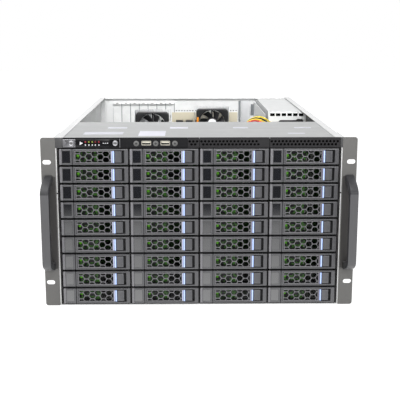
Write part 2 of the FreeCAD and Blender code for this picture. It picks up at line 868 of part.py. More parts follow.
# Finned coolers with a fan shroud on the front of each.
def cpu_coolers():
    pieces = []
    for side, x, y in (
        ("left", "-cooler_left", f"{board_near} + cooler_left_at"),
        ("right", "cooler_right", f"{board_near} + cooler_right_at"),
    ):
        body = doc.addObject("PartDesign::Body", f"fins_{side}")
        comb = [("-cooler_width / 2", "0"), ("cooler_width / 2", "0")]
        for n in range(FINS - 1, -1, -1):
            start = f"(-cooler_width / 2 + {n} * (cooler_width - fin_sheet) / {FINS - 1})"
            comb += [
                (f"({start} + fin_sheet)", "cooler_base") if n < FINS - 1 else None,
                (f"({start} + fin_sheet)", "cooler_height"),
                (start, "cooler_height"),
                (start, "cooler_base") if n > 0 else None,
            ]
        comb = [spot for spot in comb if spot]
        profile = outline(sketch_on(body, f"fins_{side}_comb", "XZ_Plane"), comb)
        pad(body, profile, "cooler_depth", True)
        move(body, x, f"{y} + shroud_depth", board_top)
        shroud = fan_frame(f"shroud_{side}", "shroud_width", "shroud_height", "shroud_depth",
                           "shroud_bore", "cooler_hub", "mount_depth")
        middle = f"{board_top} + shroud_lift + shroud_height / 2"
        move(shroud, x, y, middle)
        pieces += [body, shroud]
        rotor = fan_rotor(f"rotor_{side}", "cooler_hub", "(shroud_depth - mount_depth - rotor_gap)",
                          "cooler_tip", "cooler_chord")
        node(rotor, f"cooler_rotor_{side}", x, f"{y} + rotor_gap - slide_gap", middle)
    return node(group("coolers", pieces), "cpu_coolers")


# Power supply on the deck against the right wall, with air slots in its inner face.
def psu():
    run = f"({panel_inside} - psu_front)"
    case = block("psu_case", ("psu_width", run, "psu_height"),
                 (f"{half_inside} - psu_width", "psu_front", "deck_height"))
    slots = []
    left = f"({half_inside} - psu_width + psu_slot_inset)"
    for n in range(SUPPLY_SLOTS):
        slots.append(block(f"psu_slot_{n}", ("psu_slot_width", "psu_slot_depth", "psu_slot_height"),
                           (f"{left} + {n} * (psu_slot_width + psu_slot_gap)", "psu_front",
                            "deck_height + psu_height - psu_slot_drop - psu_slot_height")))
    return node(cut("psu_body", case, slots), "psu")


# Rear panel with card slots, port window, supply window and duct slots, and what closes them.
def rear_panel():
    sheet = block("rear_sheet", (f"2 * {half_inside}", "sheet", f"{height} - 2 * sheet"),
                  (f"-{half_inside}", panel_inside, "sheet"))
    fold = block("rear_fold", (f"2 * {half_inside}", "top_flange", "sheet"),
                 (f"-{half_inside}", f"{panel_inside} - top_flange", f"{height} - 2 * sheet"))
    holes = []
    covers = []
    low = "(deck_height + rim)"
    for n in range(CARD_SLOTS):
        x = f"({card_first} + {n} * slot_pitch)"
        holes.append(block(f"card_hole_{n}", ("slot_opening", "sheet", "cover_height - 4 * rim"),
                           (f"{x} - slot_opening / 2", panel_inside, f"{low} + 2 * rim")))
        plate = block(f"cover_plate_{n}", ("cover_width", "cover_sheet", "cover_height"),
                      (f"{x} - cover_width / 2", f"{panel_inside} - cover_sheet", low))
        tab = block(f"cover_tab_{n}", ("cover_width", "cover_tab", "cover_sheet"),
                    (f"{x} - cover_width / 2", f"{panel_inside} - cover_tab",
                     f"{low} + cover_height - cover_sheet"))
        covers.append(fuse(f"cover_{n}", [plate, tab]))
    holes.append(block("port_hole", ("io_width - 2 * rim", "sheet", "io_height - 2 * rim"),
                       (f"{port_left} + rim", panel_inside, f"{low} + rim")))
    covers.append(block("port_shield", ("io_width", "cover_sheet", "io_height"),
                        (port_left, f"{panel_inside} - cover_sheet", low)))
    holes.append(block("psu_hole", ("psu_width - 2 * rim", "sheet", "psu_height - 2 * rim"),
                       (f"{half_inside} - psu_width + rim", panel_inside, low)))
    for n in range(DUCT_SLOTS):
        holes.append(block(f"duct_hole_{n}", ("duct_slot_width", "sheet", "duct_slot_height"),
                           (f"({n} - {(DUCT_SLOTS - 1) / 2}) * duct_slot_pitch - duct_slot_width / 2",
                            panel_inside, "duct_slot_low")))
    wall = cut("pierced_rear", fuse("folded_rear", [sheet, fold]), holes)
    return node(group("rear_set", [wall, *covers]), "rear_panel")


def lead_solid(corners, radius):
    """A six-sided lead: straight runs joined by tangent arcs, each using 0.45 of its shorter run."""
    start = corners[0]
    along = (corners[1] - start).normalize()
    level = FreeCAD.Vector(1, 0, 0)
    spokes = []
    for n in range(7):
        turn = FreeCAD.Rotation(along, n * 60)
        spokes.append(turn.multVec(level) * radius)
    pieces = []
    for before, corner, after in zip(corners, corners[1:], corners[2:]):
        inward = (before - corner).normalize()
        onward = (after - corner).normalize()
        turn = math.pi - inward.getAngle(onward)
        reach = 0.45 * min((before - corner).Length, (after - corner).Length)
        bend = reach / math.tan(turn / 2)
        first = corner + inward * reach
        axis = onward.cross(inward).normalize()
        middle = first + inward.cross(axis) * bend
        pieces.append(lead_section(start, spokes).extrude(first - start))
        section = lead_section(first, spokes)
        pieces.append(section.revolve(middle, axis, math.degrees(turn)))
        rolled = FreeCAD.Rotation(axis, math.degrees(turn))
        spokes = [rolled.multVec(spoke) for spoke in spokes]
        start = corner + onward * reach
    pieces.append(lead_section(start, spokes).extrude(corners[-1] - start))
    return pieces[0].multiFuse(pieces[1:]).removeSplitter()


def lead_section(spot, spokes):
    return Part.Face(Part.makePolygon([spot + spoke for spoke in spokes]))


# Leads that arch from the supply's inner face over to the board's power socket.
def psu_wires():
    socket_x = number("board_right - socket_inset + socket_width / 2")
    socket_top = number(f"{board_top} + socket_height")
    exit_x = number(f"{half_inside} - psu_width + lead_inset")
    exit_y = number("psu_front")
    exit_z = number("deck_height + psu_height - lead_under")
    crest = number(f"{height} - lead_crest")
    leads = []
    drop = number("lead_drop")
    for n in range(LEADS):
        step = n * number("lead_pitch")
        y = exit_y - number("lead_forward") - step
        lift = crest - n * number("lead_fall")
        end_x = socket_x + ((LEADS - 1) / 2 - n) * number("lead_spread")
        corners = [
            FreeCAD.Vector(exit_x, exit_y, exit_z - step),
            FreeCAD.Vector(exit_x, y, exit_z - step),
            FreeCAD.Vector((exit_x + end_x) / 2, y, lift),
            FreeCAD.Vector(end_x, y, lift - drop),
            FreeCAD.Vector(end_x, y, socket_top),
        ]
        lead = doc.addObject("Part::Feature", f"lead_{n + 1}")
        lead.Shape = lead_solid(corners, number("lead_radius"))
        leads.append(lead)
    return node(group("leads", leads), "psu_wires")


base_pan()
rack_ears()
pull_handles()
top_plate()
control_strip()
control_panel()
buttons()
drive_cage()
backplane()
trays()
fan_wall()
board_deck()
motherboard()
cpu_coolers()
psu()
rear_panel()
psu_wires()
doc.recompute()

for thing in doc.Objects:
    if "Invalid" in thing.State or "Error" in thing.State:
        raise RuntimeError(f"{thing.Name} did not build: {thing.State}")

os.makedirs("parts", exist_ok=True)
for thing in nodes:
    shape = thing.Shape
    if not shape.Solids or not shape.isValid():
        raise RuntimeError(f"{thing.Label} is not a valid solid")
    shape.exportStep(f"parts/{thing.Label}.step")
print(len(nodes), "sub-parts")
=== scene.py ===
import bmesh
import bpy
import numpy as np
from mathutils import Matrix, Vector


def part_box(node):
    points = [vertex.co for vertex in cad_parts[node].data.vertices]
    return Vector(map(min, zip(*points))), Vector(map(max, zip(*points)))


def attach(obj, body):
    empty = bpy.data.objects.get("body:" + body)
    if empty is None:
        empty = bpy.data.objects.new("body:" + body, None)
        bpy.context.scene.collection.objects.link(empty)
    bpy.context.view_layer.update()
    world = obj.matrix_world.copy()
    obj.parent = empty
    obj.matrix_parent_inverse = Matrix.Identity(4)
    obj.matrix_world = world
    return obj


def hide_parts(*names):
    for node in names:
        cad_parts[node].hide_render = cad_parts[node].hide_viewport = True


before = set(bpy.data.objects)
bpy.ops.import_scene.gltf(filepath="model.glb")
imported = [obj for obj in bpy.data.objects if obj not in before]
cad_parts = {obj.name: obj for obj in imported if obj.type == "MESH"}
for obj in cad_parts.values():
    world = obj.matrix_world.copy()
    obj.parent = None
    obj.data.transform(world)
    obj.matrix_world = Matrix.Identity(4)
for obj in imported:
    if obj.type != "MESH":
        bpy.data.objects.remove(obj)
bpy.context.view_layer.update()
mm = 0.001
earBox = np.array(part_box("rack_ears"))
front = earBox[0, 1]  # front face of the rack ears
topEdge = earBox[1, 2]
scene = bpy.context.scene
scene.view_settings.view_transform = "Standard"


def tone(red, green, blue):  # 0-255 screen colour to the linear one a shader takes
    c = np.array([red, green, blue]) / 255
    return tuple(np.where(c <= 0.04045, c / 12.92, ((c + 0.055) / 1.055) ** 2.4)) + (1.0,)


# shader arithmetic: an operator on a Wire adds one Math node
class Wire:
    def __init__(self, tree, socket):
        self.tree, self.socket = tree, socket

    def math(self, operation, other=0.0, swap=False):
        node = self.tree.nodes.new("ShaderNodeMath")
        node.operation = operation
        for n, value in enumerate((other, self) if swap else (self, other)):
            if isinstance(value, Wire):
                self.tree.links.new(value.socket, node.inputs[n])
            else:
                node.inputs[n].default_value = value
        return Wire(self.tree, node.outputs[0])

    def __add__(self, other): return self.math("ADD", other)
    def __sub__(self, other): return self.math("SUBTRACT", other)
    def __rsub__(self, other): return self.math("SUBTRACT", other, True)
    def __mul__(self, other): return self.math("MULTIPLY", other)
    def __truediv__(self, other): return self.math("DIVIDE", other)
    def __gt__(self, other): return self.math("GREATER_THAN", other)
    def __lt__(self, other): return self.math("LESS_THAN", other)
    def clamp(self): return self.math("MAXIMUM", 0.0).math("MINIMUM", 1.0)


# one material: constants sit on the shader's own sockets, what varies is linked in
class Finish:
    def __init__(self, name, **fixed):
        self.material = bpy.data.materials.new(name)
        self.material.use_nodes = True
        self.tree = self.material.node_tree
        self.shader = self.tree.nodes["Principled BSDF"]
        for key, value in fixed.items():
            self.entry(key).default_value = value
        self.place = self.node("TexCoord", out="Object")

    def entry(self, key):  # shader input by its name without blanks
        return next(s for s in self.shader.inputs if s.name.replace(" ", "").lower() == key.lower())

    def node(self, kind, settings=None, values=None, out=0):
        made = self.tree.nodes.new("ShaderNode" + kind)
        for key, value in (settings or {}).items():
            setattr(made, key, value)
        for key, value in (values or {}).items():
            if isinstance(value, Wire):
                self.tree.links.new(value.socket, made.inputs[key])
            else:
                made.inputs[key].default_value = value
        return Wire(self.tree, made.outputs[out])

    def axis(self, letter):
        return self.node("SeparateXYZ", None, {0: self.place}, letter)

    def noise(self, scale, detail, stretch=None):
        place = self.place
        if stretch:
            place = self.node("Mapping", None, {"Vector": place, "Scale": stretch})
        return self.node("TexNoise", None, {"Vector": place, "Scale": scale, "Detail": detail})

    def blend(self, factor, first, second):
        return self.node("Mix", {"data_type": "RGBA"}, {0: factor, 6: first, 7: second}, 2)

    def between(self, letter, low, high):  # 1 where the object coordinate lies in the band
        a = self.axis(letter)
        return (a > low) * (a < high)

    def feed(self, **links):
        for key, wire in links.items():
            self.tree.links.new(wire.socket, self.entry(key))
        return self

    def over(self, mask, colour):  # the base colour so far, with another one where the mask is 1
        return self.blend(mask, Wire(self.tree, self.entry("basecolor").links[0].from_socket), colour)

    def coat(self, mask, *screen):  # and keeps that as the base colour
        self.feed(basecolor=self.over(mask, tone(*screen)))

    def bump(self, height, strength, distance):
        return self.feed(normal=self.node(
            "Bump", None, {"Strength": strength, "Distance": distance, "Height": height}))


def paint(name, screen, rough=0.4, grain=1500, depth=0.1, spread=0.12, **fixed):
    # powder paint or moulded plastic: fine grain in the bump, slow drift in colour and gloss
    f = Finish(name, **fixed)
    drift = f.noise(14, 4)
    fine = f.noise(grain, 2)
    colour = tone(*screen)[:3]
    dark = tuple(c * (1 - spread) for c in colour) + (1,)
    pale = tuple(min(1, c * (1 + spread)) for c in colour) + (1,)
    f.feed(basecolor=f.blend(drift * 0.7 + fine * 0.3, dark, pale))
    f.feed(roughness=(drift - 0.5) * 0.16 + fine * 0.1 + (rough - 0.05))
    f.bump(fine, depth, 0.0003)
    return f


def zincSteel(name, dark, pale, grain, metal, rough=0.42):
    # zinc-coated sheet: spangle cells of slightly different grey, rolled streaks, dull spots
    f = Finish(name, metallic=metal)
    cells = f.node("TexVoronoi", None, {"Vector": f.place, "Scale": 95.0}, "Color")
    spangle = f.node("SeparateColor", None, {0: cells})
    streak = f.noise(60, 5, grain)
    cloud = f.noise(9, 3)
    mix = spangle * 0.3 + streak * 0.4 + cloud * 0.3
    f.feed(basecolor=f.blend(mix, tone(*dark), tone(*pale)))
    f.feed(roughness=spangle * 0.12 + cloud * 0.1 + (rough - 0.1))
    f.bump(streak, 0.06, 0.0003)
    return f


print("stage: materials")
caseSteel = zincSteel("caseSteel", (200, 201, 202), (230, 230, 230), (1, 1, 0.1), 0.2)
plateSteel = zincSteel("plateSteel", (148, 149, 150), (188, 189, 189), (0.04, 1, 1), 0.35, 0.5)
hemSteel = zincSteel("hemSteel", (224, 224, 222), (244, 244, 243), (1, 1, 0.1), 0.15)
earPaint = paint("earPaint", (113, 112, 110), 0.55, 1900, 0.35)
handlePaint = paint("handlePaint", (99, 99, 101), 0.42, 2400, 0.2)
# painted shade: dark colour for the plate that stands in for the handle's shadow on the ear
shadePlatePaint = paint("shadePlatePaint", (58, 56, 55), 0.5, 2000, 0.3)
trayPlastic = paint("trayPlastic", (90, 90, 93), 0.36, 3000, 0.2, ior=1.75)
# paler grey; on the trays' left bars this is partly their own lighter plastic and partly painted highlight of the
# edge catching light
barPlastic = paint("barPlastic", (130, 129, 133), 0.36, 3000, 0.2, ior=1.75)
gratePlastic = paint("gratePlastic", (132, 131, 135), 0.36, 3000, 0.15, ior=1.7)
latchPlastic = paint("latchPlastic", (89, 89, 93), 0.36, 1600, 0.4, ior=1.75)
recessPlastic = paint("recessPlastic", (30, 30, 32), 0.6, 2500, 0.2)
stripPaint = paint("stripPaint", (24, 24, 27), 0.55, 2200, 0.3, specularIORlevel=0.25)
fieldPaint = paint("fieldPaint", (46, 45, 47), 0.5, 2200, 0.3, specularIORlevel=0.3)
# painted shade: near-black set behind holes, slots and gaps
holeBlack = paint("holeBlack", (7, 7, 8), 0.8, 1500, 0.1, specularIORlevel=0.1)
endPaint = paint("endPaint", (80, 80, 81), 0.55, 1900, 0.35)
fanPlastic = paint("fanPlastic", (30, 30, 32), 0.38, 1500, 0.15)
socketPlastic = paint("socketPlastic", (24, 24, 26), 0.45, 1500, 0.15)
ventGrey = paint("ventGrey", (110, 112, 114), 0.5, 1500, 0.15)
whitePlastic = paint("whitePlastic", (226, 222, 208))
hubWhite = paint("hubWhite", (240, 240, 242))
patchPaper = paint("patchPaper", (214, 214, 224), 0.62, 3000, 0.1, 0.03)
patchFaint = paint("patchFaint", (202, 203, 211), 0.6, 3000, 0.1, 0.04)
portBlue = paint("portBlue", (46, 74, 158))
portWine = paint("portWine", (124, 44, 64))
orangePlastic = paint("orangePlastic", (226, 138, 32))
screwSteel = zincSteel("screwSteel", (120, 120, 120), (178, 178, 176), (1, 1, 1), 0.8, 0.38)
headSteel = zincSteel("headSteel", (96, 96, 96), (134, 134, 133), (1, 1, 1), 0.3, 0.45)
finMetal = zincSteel("finMetal", (186, 188, 190), (226, 228, 230), (1, 0.1, 1), 0.7, 0.35)
buttonMetal = zincSteel("buttonMetal", (176, 176, 180), (222, 222, 226), (1, 1, 1), 0.9, 0.28)


def gloss(name, dark, pale, scale, vary, rough, **fixed):  # smooth plastic: slow drift in colour and shine
    f = Finish(name, **fixed)
    drift = f.noise(scale, 3)
    return f.feed(basecolor=f.blend(drift, tone(*dark), tone(*pale)), roughness=drift * vary + rough)


labelGloss = gloss("labelGloss", (16, 17, 22), (26, 28, 36), 40, 0.03, 0.03, ior=2.7)
labelGloss.bump(labelGloss.noise(2600, 1), 0.05, 0.0002)
panelGloss = gloss("panelGloss", (10, 10, 12), (22, 22, 25), 60, 0.1, 0.2, coatweight=0.4)


def glow(name, colour, edge, strength):  # light pipe or lamp lens: cloudy plastic lit from inside
    f = Finish(name, emissionstrength=strength, roughness=0.3)
    cloud = f.noise(320, 2)
    shade = f.blend(cloud, tone(*edge), tone(*colour))
    return f.feed(basecolor=shade, emissioncolor=shade)


pipeBlue = glow("pipeBlue", (210, 227, 255), (190, 213, 254), 0.42)
pipeEdge = glow("pipeEdge", (146, 174, 242), (112, 146, 226), 0.34)
pipeFrost = glow("pipeFrost", (200, 206, 232), (182, 188, 216), 0.1)
right = ((pipeFrost.axis("X") + 0.02) / 0.14).clamp()
clear = pipeFrost.over(right, tone(112, 106, 120))  # painted reflection: the frost strip is pale on the trays to the left and fades to dark grey on the right
pipeFrost.feed(basecolor=clear, emissioncolor=clear)
lampRed = glow("lampRed", (150, 34, 46), (108, 16, 28), 0.2)
lampGreen = glow("lampGreen", (138, 146, 48), (100, 112, 32), 0.2)
lampDim = glow("lampDim", (130, 20, 26), (70, 8, 12), 0.2)
lampLeaf = glow("lampLeaf", (112, 190, 46), (66, 140, 24), 0.22)
lampMoss = glow("lampMoss", (78, 136, 46), (44, 96, 28), 0.14)
# printed marks; their faint glow is painted light, since they are no lamps
markWhite = glow("markWhite", (240, 240, 242), (220, 220, 224), 0.1)


def boardFinish(name, mask, base, pale):  # solder mask with copper runs under it; mask picks the sockets
    f = Finish(name)
    runs = f.node("TexBrick", {"offset": 0.37}, {"Vector": f.place, "Scale": 190.0, "Mortar Size": 0.06},
                  "Fac")
    cloud = f.noise(30, 4)
    green = f.blend(runs * 0.55 + cloud * 0.35, tone(*base), tone(*pale))
    f.feed(basecolor=f.blend(mask(f), green, tone(20, 20, 22)))
    f.feed(roughness=cloud * 0.15 + 0.3)
    f.bump(runs, 0.15, 0.0002)
    return f


statusGreen = boardFinish("statusGreen", lambda f: f.noise(260, 2) > 0.52,
                          (30, 66, 26), (72, 120, 50))


# points (v, u) of a grid of rings; neighbours make quads, open ends get one flat face each
def surface(rings, wrap=False):
    rows, count = rings.shape[:2]
    index = np.arange(rows * count).reshape(rows, count)
    below = np.roll(index, -1, 0) if wrap else index[1:]
    above = index if wrap else index[:-1]
    quads = np.stack([above, np.roll(above, -1, 1), np.roll(below, -1, 1), below], -1)
    faces = quads.reshape(-1, 4).tolist()
    if not wrap:
        faces += [index[0, ::-1].tolist(), index[-1].tolist()]
    return rings.reshape(-1, 3), faces


# rounded rectangle: a quarter arc of radius r about each inset corner, count points each
def roundRect(x0, x1, z0, z1, r=0.01, count=4):
    turn = np.arange(4)[:, None] * np.pi / 2 + np.linspace(0, np.pi / 2, count)
    side = np.array([[1, 1], [-1, 1], [-1, -1], [1, -1]])[:, None, :]
    middle = np.array([x0 + x1, z0 + z1]) / 2
    half = np.array([x1 - x0, z1 - z0]) / 2 - r
    arc = np.stack([np.cos(turn), np.sin(turn)], -1) * r
    return (middle + side * half + arc).reshape(-1, 2)


def circle(x, z, r, count=16):  # begins half a step past the x direction
    turn = np.linspace(0, 2 * np.pi, count, endpoint=False) + np.pi / count
    return np.stack([x + r * np.cos(turn), z + r * np.sin(turn)], -1)


# six-sided cell, flat at top and bottom; soft pulls its corners towards a circle
def hexagon(x, z, r, soft=0.0):
    turn = np.linspace(0, 2 * np.pi, 18, endpoint=False)
    reach = np.cos(np.pi / 6) / np.cos((turn % (np.pi / 3)) - np.pi / 6)
    reach = r * ((1 - soft) * reach + soft * 0.95)
    return np.stack([x + reach * np.cos(turn), z + reach * np.sin(turn)], -1)


order = {"front": (0, 2, 1), "top": (0, 1, 2), "side": (1, 2, 0)}


def lay(loop, depth, plane="front"):  # flat outline to space: plane names the face it lies in
    out = np.empty((len(loop), 3))
    a, b, c = order[plane]
    out[:, a], out[:, b], out[:, c] = loop[:, 0], loop[:, 1], depth
    return out


def roll(edge, steps):  # inset e(1 - sin t) and depth e(1 - cos t) at each step of a rolled edge
    turn = np.linspace(0, np.pi / 2, steps)
    return edge * (1 - np.sin(turn)), edge * (1 - np.cos(turn))


# slab with rolled edges, drawn from the near face to the far one
def slab(x0, x1, z0, z1, near, far, r, edge, plane="front", steps=3, count=4):
    inset, back = roll(edge, steps)
    levels = list(zip(inset, near + back)) + list(zip(inset, far - back))[::-1]
    return surface(np.array([lay(roundRect(x0 + i, x1 - i, z0 + i, z1 - i, max(r - i, 0.02), count), depth, plane)
                             for i, depth in levels]))


def brick(x, z, w, h, near, far, r=0.2, edge=0.15, steps=2, count=2):  # slab by its middle and size
    return slab(x - w / 2, x + w / 2, z - h / 2, z + h / 2, near, far, r, edge, "front", steps, count)


def sided(side, a, b):  # both ends of a stretch on one side of the middle, left one first
    return sorted((side * a, side * b))


# frame round an opening: outer wall, rolled front edge, inner wall and back, closed on itself
def window(outer, inner, near, far, edge):
    inset, back = roll(edge, 3)
    steep = np.sign(outer - (outer.max(0) + outer.min(0)) / 2)
    away = inner - (inner.max(0) + inner.min(0)) / 2
    away = away / np.linalg.norm(away, axis=1, keepdims=True)
    loops = [(outer, far)] + [(outer - steep * i, near + b) for i, b in zip(inset[::-1], back[::-1])]
    loops += [(inner + away * i, near + b) for i, b in zip(inset, back)] + [(inner, far)]
    return surface(np.array([lay(loop, depth) for loop, depth in loops]), wrap=True)


# body of revolution: (radius, depth) pairs carried round an axis through (x, z)
def revolve(x, z, profile, plane="front", count=20):
    return surface(np.array([lay(circle(x, z, max(r, 0.02), count), d, plane) for r, d in profile]))


def dome(x, z, r, base, height, plane="front", count=12):  # screw or rivet head, a quarter ellipse turned
    t = np.linspace(0, np.pi / 2, 4)
    return revolve(x, z, list(zip(r * np.cos(t), base + height * np.sin(t))), plane, count)


# many shapes in one mesh, in millimetres, each with its finish
class Build:
    def __init__(self):
        self.points, self.faces, self.slots, self.finishes, self.count = [], [], [], [], 0

    def add(self, shape, finish):
        points, faces = shape
        if finish not in self.finishes:
            self.finishes.append(finish)
        self.points.append(points)
        self.faces += [[n + self.count for n in face] for face in faces]
        self.slots += [self.finishes.index(finish)] * len(faces)
        self.count += len(points)

    def mesh(self, name, sharp):
        made = bpy.data.meshes.new(name)
        made.from_pydata(np.vstack(self.points) * mm, [], self.faces)
        made.polygons.foreach_set("material_index", self.slots)
        bm = bmesh.new()
        bm.from_mesh(made)
        bmesh.ops.recalc_face_normals(bm, faces=bm.faces)
        bm.to_mesh(made)
        bm.free()
        for finish in self.finishes:
            made.materials.append(finish.material)
        made.shade_smooth()
        made.set_sharp_from_angle(angle=np.radians(sharp))
        return made


def put(name, mesh, body, slot, *nodes):
    made = bpy.data.objects.new(name, mesh)
    scene.collection.objects.link(made)
    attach(made, body)
    if nodes:
        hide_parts(*nodes)


def dress(node, finish):  # a CAD node whose shape is right only gets its finish
    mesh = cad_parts[node].data
    mesh.materials.clear()
    mesh.materials.append(finish.material)


def box(node):  # a node's corners in millimetres, y from the ears' front face
    return np.array(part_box(node)) / mm - (0, front / mm, 0)


def placed(build, name, sharp=32.0):  # a build whose y starts at the ears' front face
    mesh = build.mesh(name, sharp)
    mesh.transform(Matrix.Translation((0, front, 0)))
    return mesh


def fix(build, name, slot, *nodes, sharp=32.0):  # a piece that stays with the case
    put(name, placed(build, name, sharp), "chassis", slot, *nodes)


print("stage: drive trays")
tray = {"wide": 104.6, "high": 25.2, "trim": 0.45, "thick": 6.2, "floor": 6.0, "deep": 12.0, "sharp": 20.0,
        "bar": 4.0, "label": (4.4, 16.6, 18.6), "split": (19.5, 20.2), "recess": (23.0, 98.6, 20.0),
        "window": (24.4, 78.2, 17.2), "lever": (23.4, 83.8, 19.2), "leverDeep": 3.2,
        "frost": (78.5, 80.8, 18.0, -0.1), "pipe": (81.0, 83.6, 18.4, -0.15), "core": (0.55, 17.6),
        "latch": (84.2, 94.8, 17.4), "latchDeep": 4.6, "status": (22.5, 58.0, 21.0), "statusDeep": 1.6,
        "railIn": 51.0, "railOut": 52.2, "railEnd": 187.5, "railHigh": 23.5,
        "railScrews": (30.0, 75.0, 120.0, 165.0)}
grate = {"first": 27.6, "column": 8.68, "row": 10.0, "reach": 5.77, "hole": 5.12, "columns": 7, "near": 0.5,
         "far": 2.9, "soft": 0.3, "rim": 0.4, "keep": 0.5, "lip": 0.25, "lipKeep": 0.3, "roll": 0.3}
trayNodes = sorted(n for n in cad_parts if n.startswith("drive_tray"))


def trayX(x):  # from the bezel's left edge to the tray's middle
    return x - tray["wide"] / 2


def pane(a, b, high, r):  # outline between two distances from the left edge
    return roundRect(trayX(a), trayX(b), -high / 2, high / 2, r)


def trayBlock(a, b, high, near, far, r, edge):
    return slab(trayX(a), trayX(b), -high / 2, high / 2, near, far, r, edge)


# honeycomb: each cell is a ring from its lattice hexagon in to its hole, then back through the plate
def addGrate(build):
    x0, x1, tall = tray["window"]
    low = np.array([trayX(x0), -tall / 2]) - grate["rim"]
    high = np.array([trayX(x1), tall / 2]) + grate["rim"]
    near, far, soft = grate["near"], grate["far"], grate["soft"]
    for column in range(grate["columns"]):
        x = trayX(grate["first"]) + column * grate["column"]
        for row in (-0.5, 0.5) if column % 2 else (-1, 0, 1):
            z = row * grate["row"]
            outer = np.clip(hexagon(x, z, grate["reach"]), low, high)
            hole = np.clip(hexagon(x, z, grate["hole"], soft=soft), low + grate["keep"], high - grate["keep"])
            lip = np.clip(hexagon(x, z, grate["hole"] + grate["lip"], soft=soft),
                          low + grate["lipKeep"], high - grate["lipKeep"])
            rings = [lay(outer, far), lay(outer, near), lay(lip, near),
                     lay(hole, near + grate["roll"]), lay(hole, far)]
            build.add(surface(np.array(rings), wrap=True), gratePlastic)


def addLever(build):
    build.add(window(pane(*tray["lever"], 0.8), pane(*tray["window"], 0.5), 0, tray["leverDeep"], 0.5),
              gratePlastic)
    addGrate(build)
    for name, finish in (("frost", pipeFrost), ("pipe", pipeEdge)):
        a, b, tall, proud = tray[name]
        build.add(trayBlock(a, b, tall, proud, 2.2, 0.6, 0.5), finish)
    a, b = tray["pipe"][:2]  # bright core standing out of the blue pipe
    inset, tall = tray["core"]
    build.add(trayBlock(a + inset, b - inset, tall, -0.3, 0.4, 0.4, 0.25), pipeBlue)


def addLatch(build):
    a, b, tall = tray["latch"]
    build.add(trayBlock(a, b, tall, 0.0, tray["latchDeep"], 0.8, 0.6), latchPlastic)
    for n in range(3):  # grip ridges along the free edge
        x = b - 1.8 - n * 1.3
        build.add(trayBlock(x, x + 0.6, tall - 5.0, -0.2, 0.4, 0.25, 0.2), latchPlastic)


# x, z, width, height and thickness of what stands on the small board behind the left part of the grille
statusBits = ((36.6, 5.0, 5.0, 6.0, 1.6, socketPlastic), (35.0, -5.6, 4.0, 4.0, 1.2, socketPlastic),
              (45.0, 0.4, 7.4, 5.6, 3.0, fanPlastic), (44.6, -7.4, 5.0, 2.6, 1.4, socketPlastic),
              (45.4, 7.6, 3.0, 2.0, 1.0, screwSteel), (56.2, -6.9, 1.2, 1.2, 0.8, whitePlastic),
              (56.0, 6.2, 2.0, 5.0, 2.0, socketPlastic), (56.2, -5.0, 1.8, 3.6, 1.6, screwSteel),
              (31.4, -0.6, 2.4, 7.0, 2.2, socketPlastic), (38.4, -3.0, 1.4, 1.0, 0.8, whitePlastic))
statusLamps = ((27.0, 0.2, 2.3, lampLeaf), (53.2, 5.4, 1.4, lampMoss), (53.6, -4.8, 1.8, lampMoss))


def addBezel(build):
    wide, high, thick, deep, bar = (tray[key] for key in ("wide", "high", "thick", "deep", "bar"))
    face = high - 2 * tray["trim"]  # the front stands back a little from the next row
    left, right = tray["split"]
    # left bar: partly lighter plastic, partly painted highlight where its edge catches the light
    build.add(trayBlock(0, bar, face, 0, thick, 0.9, 0.7), barPlastic)
    build.add(window(pane(bar, left, face, 0.7), pane(*tray["label"], 0.6), 0, thick, 0.6), trayPlastic)
    a, b, tall = tray["label"]
    build.add(trayBlock(a - 0.1, b + 0.1, tall + 0.2, 0.8, 6.0, 0.5, 0.3), labelGloss)
    build.add(window(pane(right, wide, face, 0.9), pane(*tray["recess"], 0.9), 0, thick, 0.7), trayPlastic)
    build.add(window(pane(0.3, wide - 0.3, high - 0.6, 0.8), pane(*tray["window"], 0.5),
                     tray["floor"], deep, 0.3), recessPlastic)
    build.add(trayBlock(*tray["status"], deep, deep + tray["statusDeep"], 0.3, 0.1), statusGreen)
    for x, z, w, h, proud, finish in statusBits:
        build.add(brick(trayX(x), z, w, h, deep - proud, deep), finish)
    for x, z, r, lens in statusLamps:
        build.add(dome(trayX(x), z, r, deep, -r * 0.9, count=14), lens)
    for side in (-1, 1):
        build.add(slab(deep, tray["railEnd"], -high / 2, -high / 2 + tray["railHigh"],
                       *sided(side, tray["railIn"], tray["railOut"]), 3.0, 0.2, "side"), caseSteel)
        for y in tray["railScrews"]:
            build.add(dome(y, -4.0, 3.0, side * tray["railIn"], -side * 1.4, "side", 10), screwSteel)


wholeTray, bareTray, freeLever, freeLatch = Build(), Build(), Build(), Build()
for add, builds in ((addBezel, (wholeTray, bareTray)), (addLever, (wholeTray, freeLever)),
                    (addLatch, (wholeTray, freeLatch))):
    for build in builds:
        add(build)
wholeMesh = wholeTray.mesh("trayFront", tray["sharp"])
for node in trayNodes:
    low, high = np.array(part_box(node))
    place = Matrix.Translation(((low[0] + high[0]) / 2, low[1], (low[2] + high[2]) / 2))
    first = node.endswith("r1_c1")
    mesh = bareTray.mesh("trayBody", tray["sharp"]) if first else wholeMesh.copy()
    mesh.transform(place)
    mesh.name = "tray_" + node[-5:]
    put("tray_" + node[-5:], mesh, node, "tray_plastic", node)
    if first:  # this tray's lever and latch move by themselves
        for build, name, target in ((freeLever, "trayLever", "tray_lever"), (freeLatch, "trayLatch", "tray_latch")):
            loose = build.mesh(name, tray["sharp"])
            loose.transform(place)
            put(name, loose, target, "tray_plastic", target)
bpy.data.meshes.remove(wholeMesh)


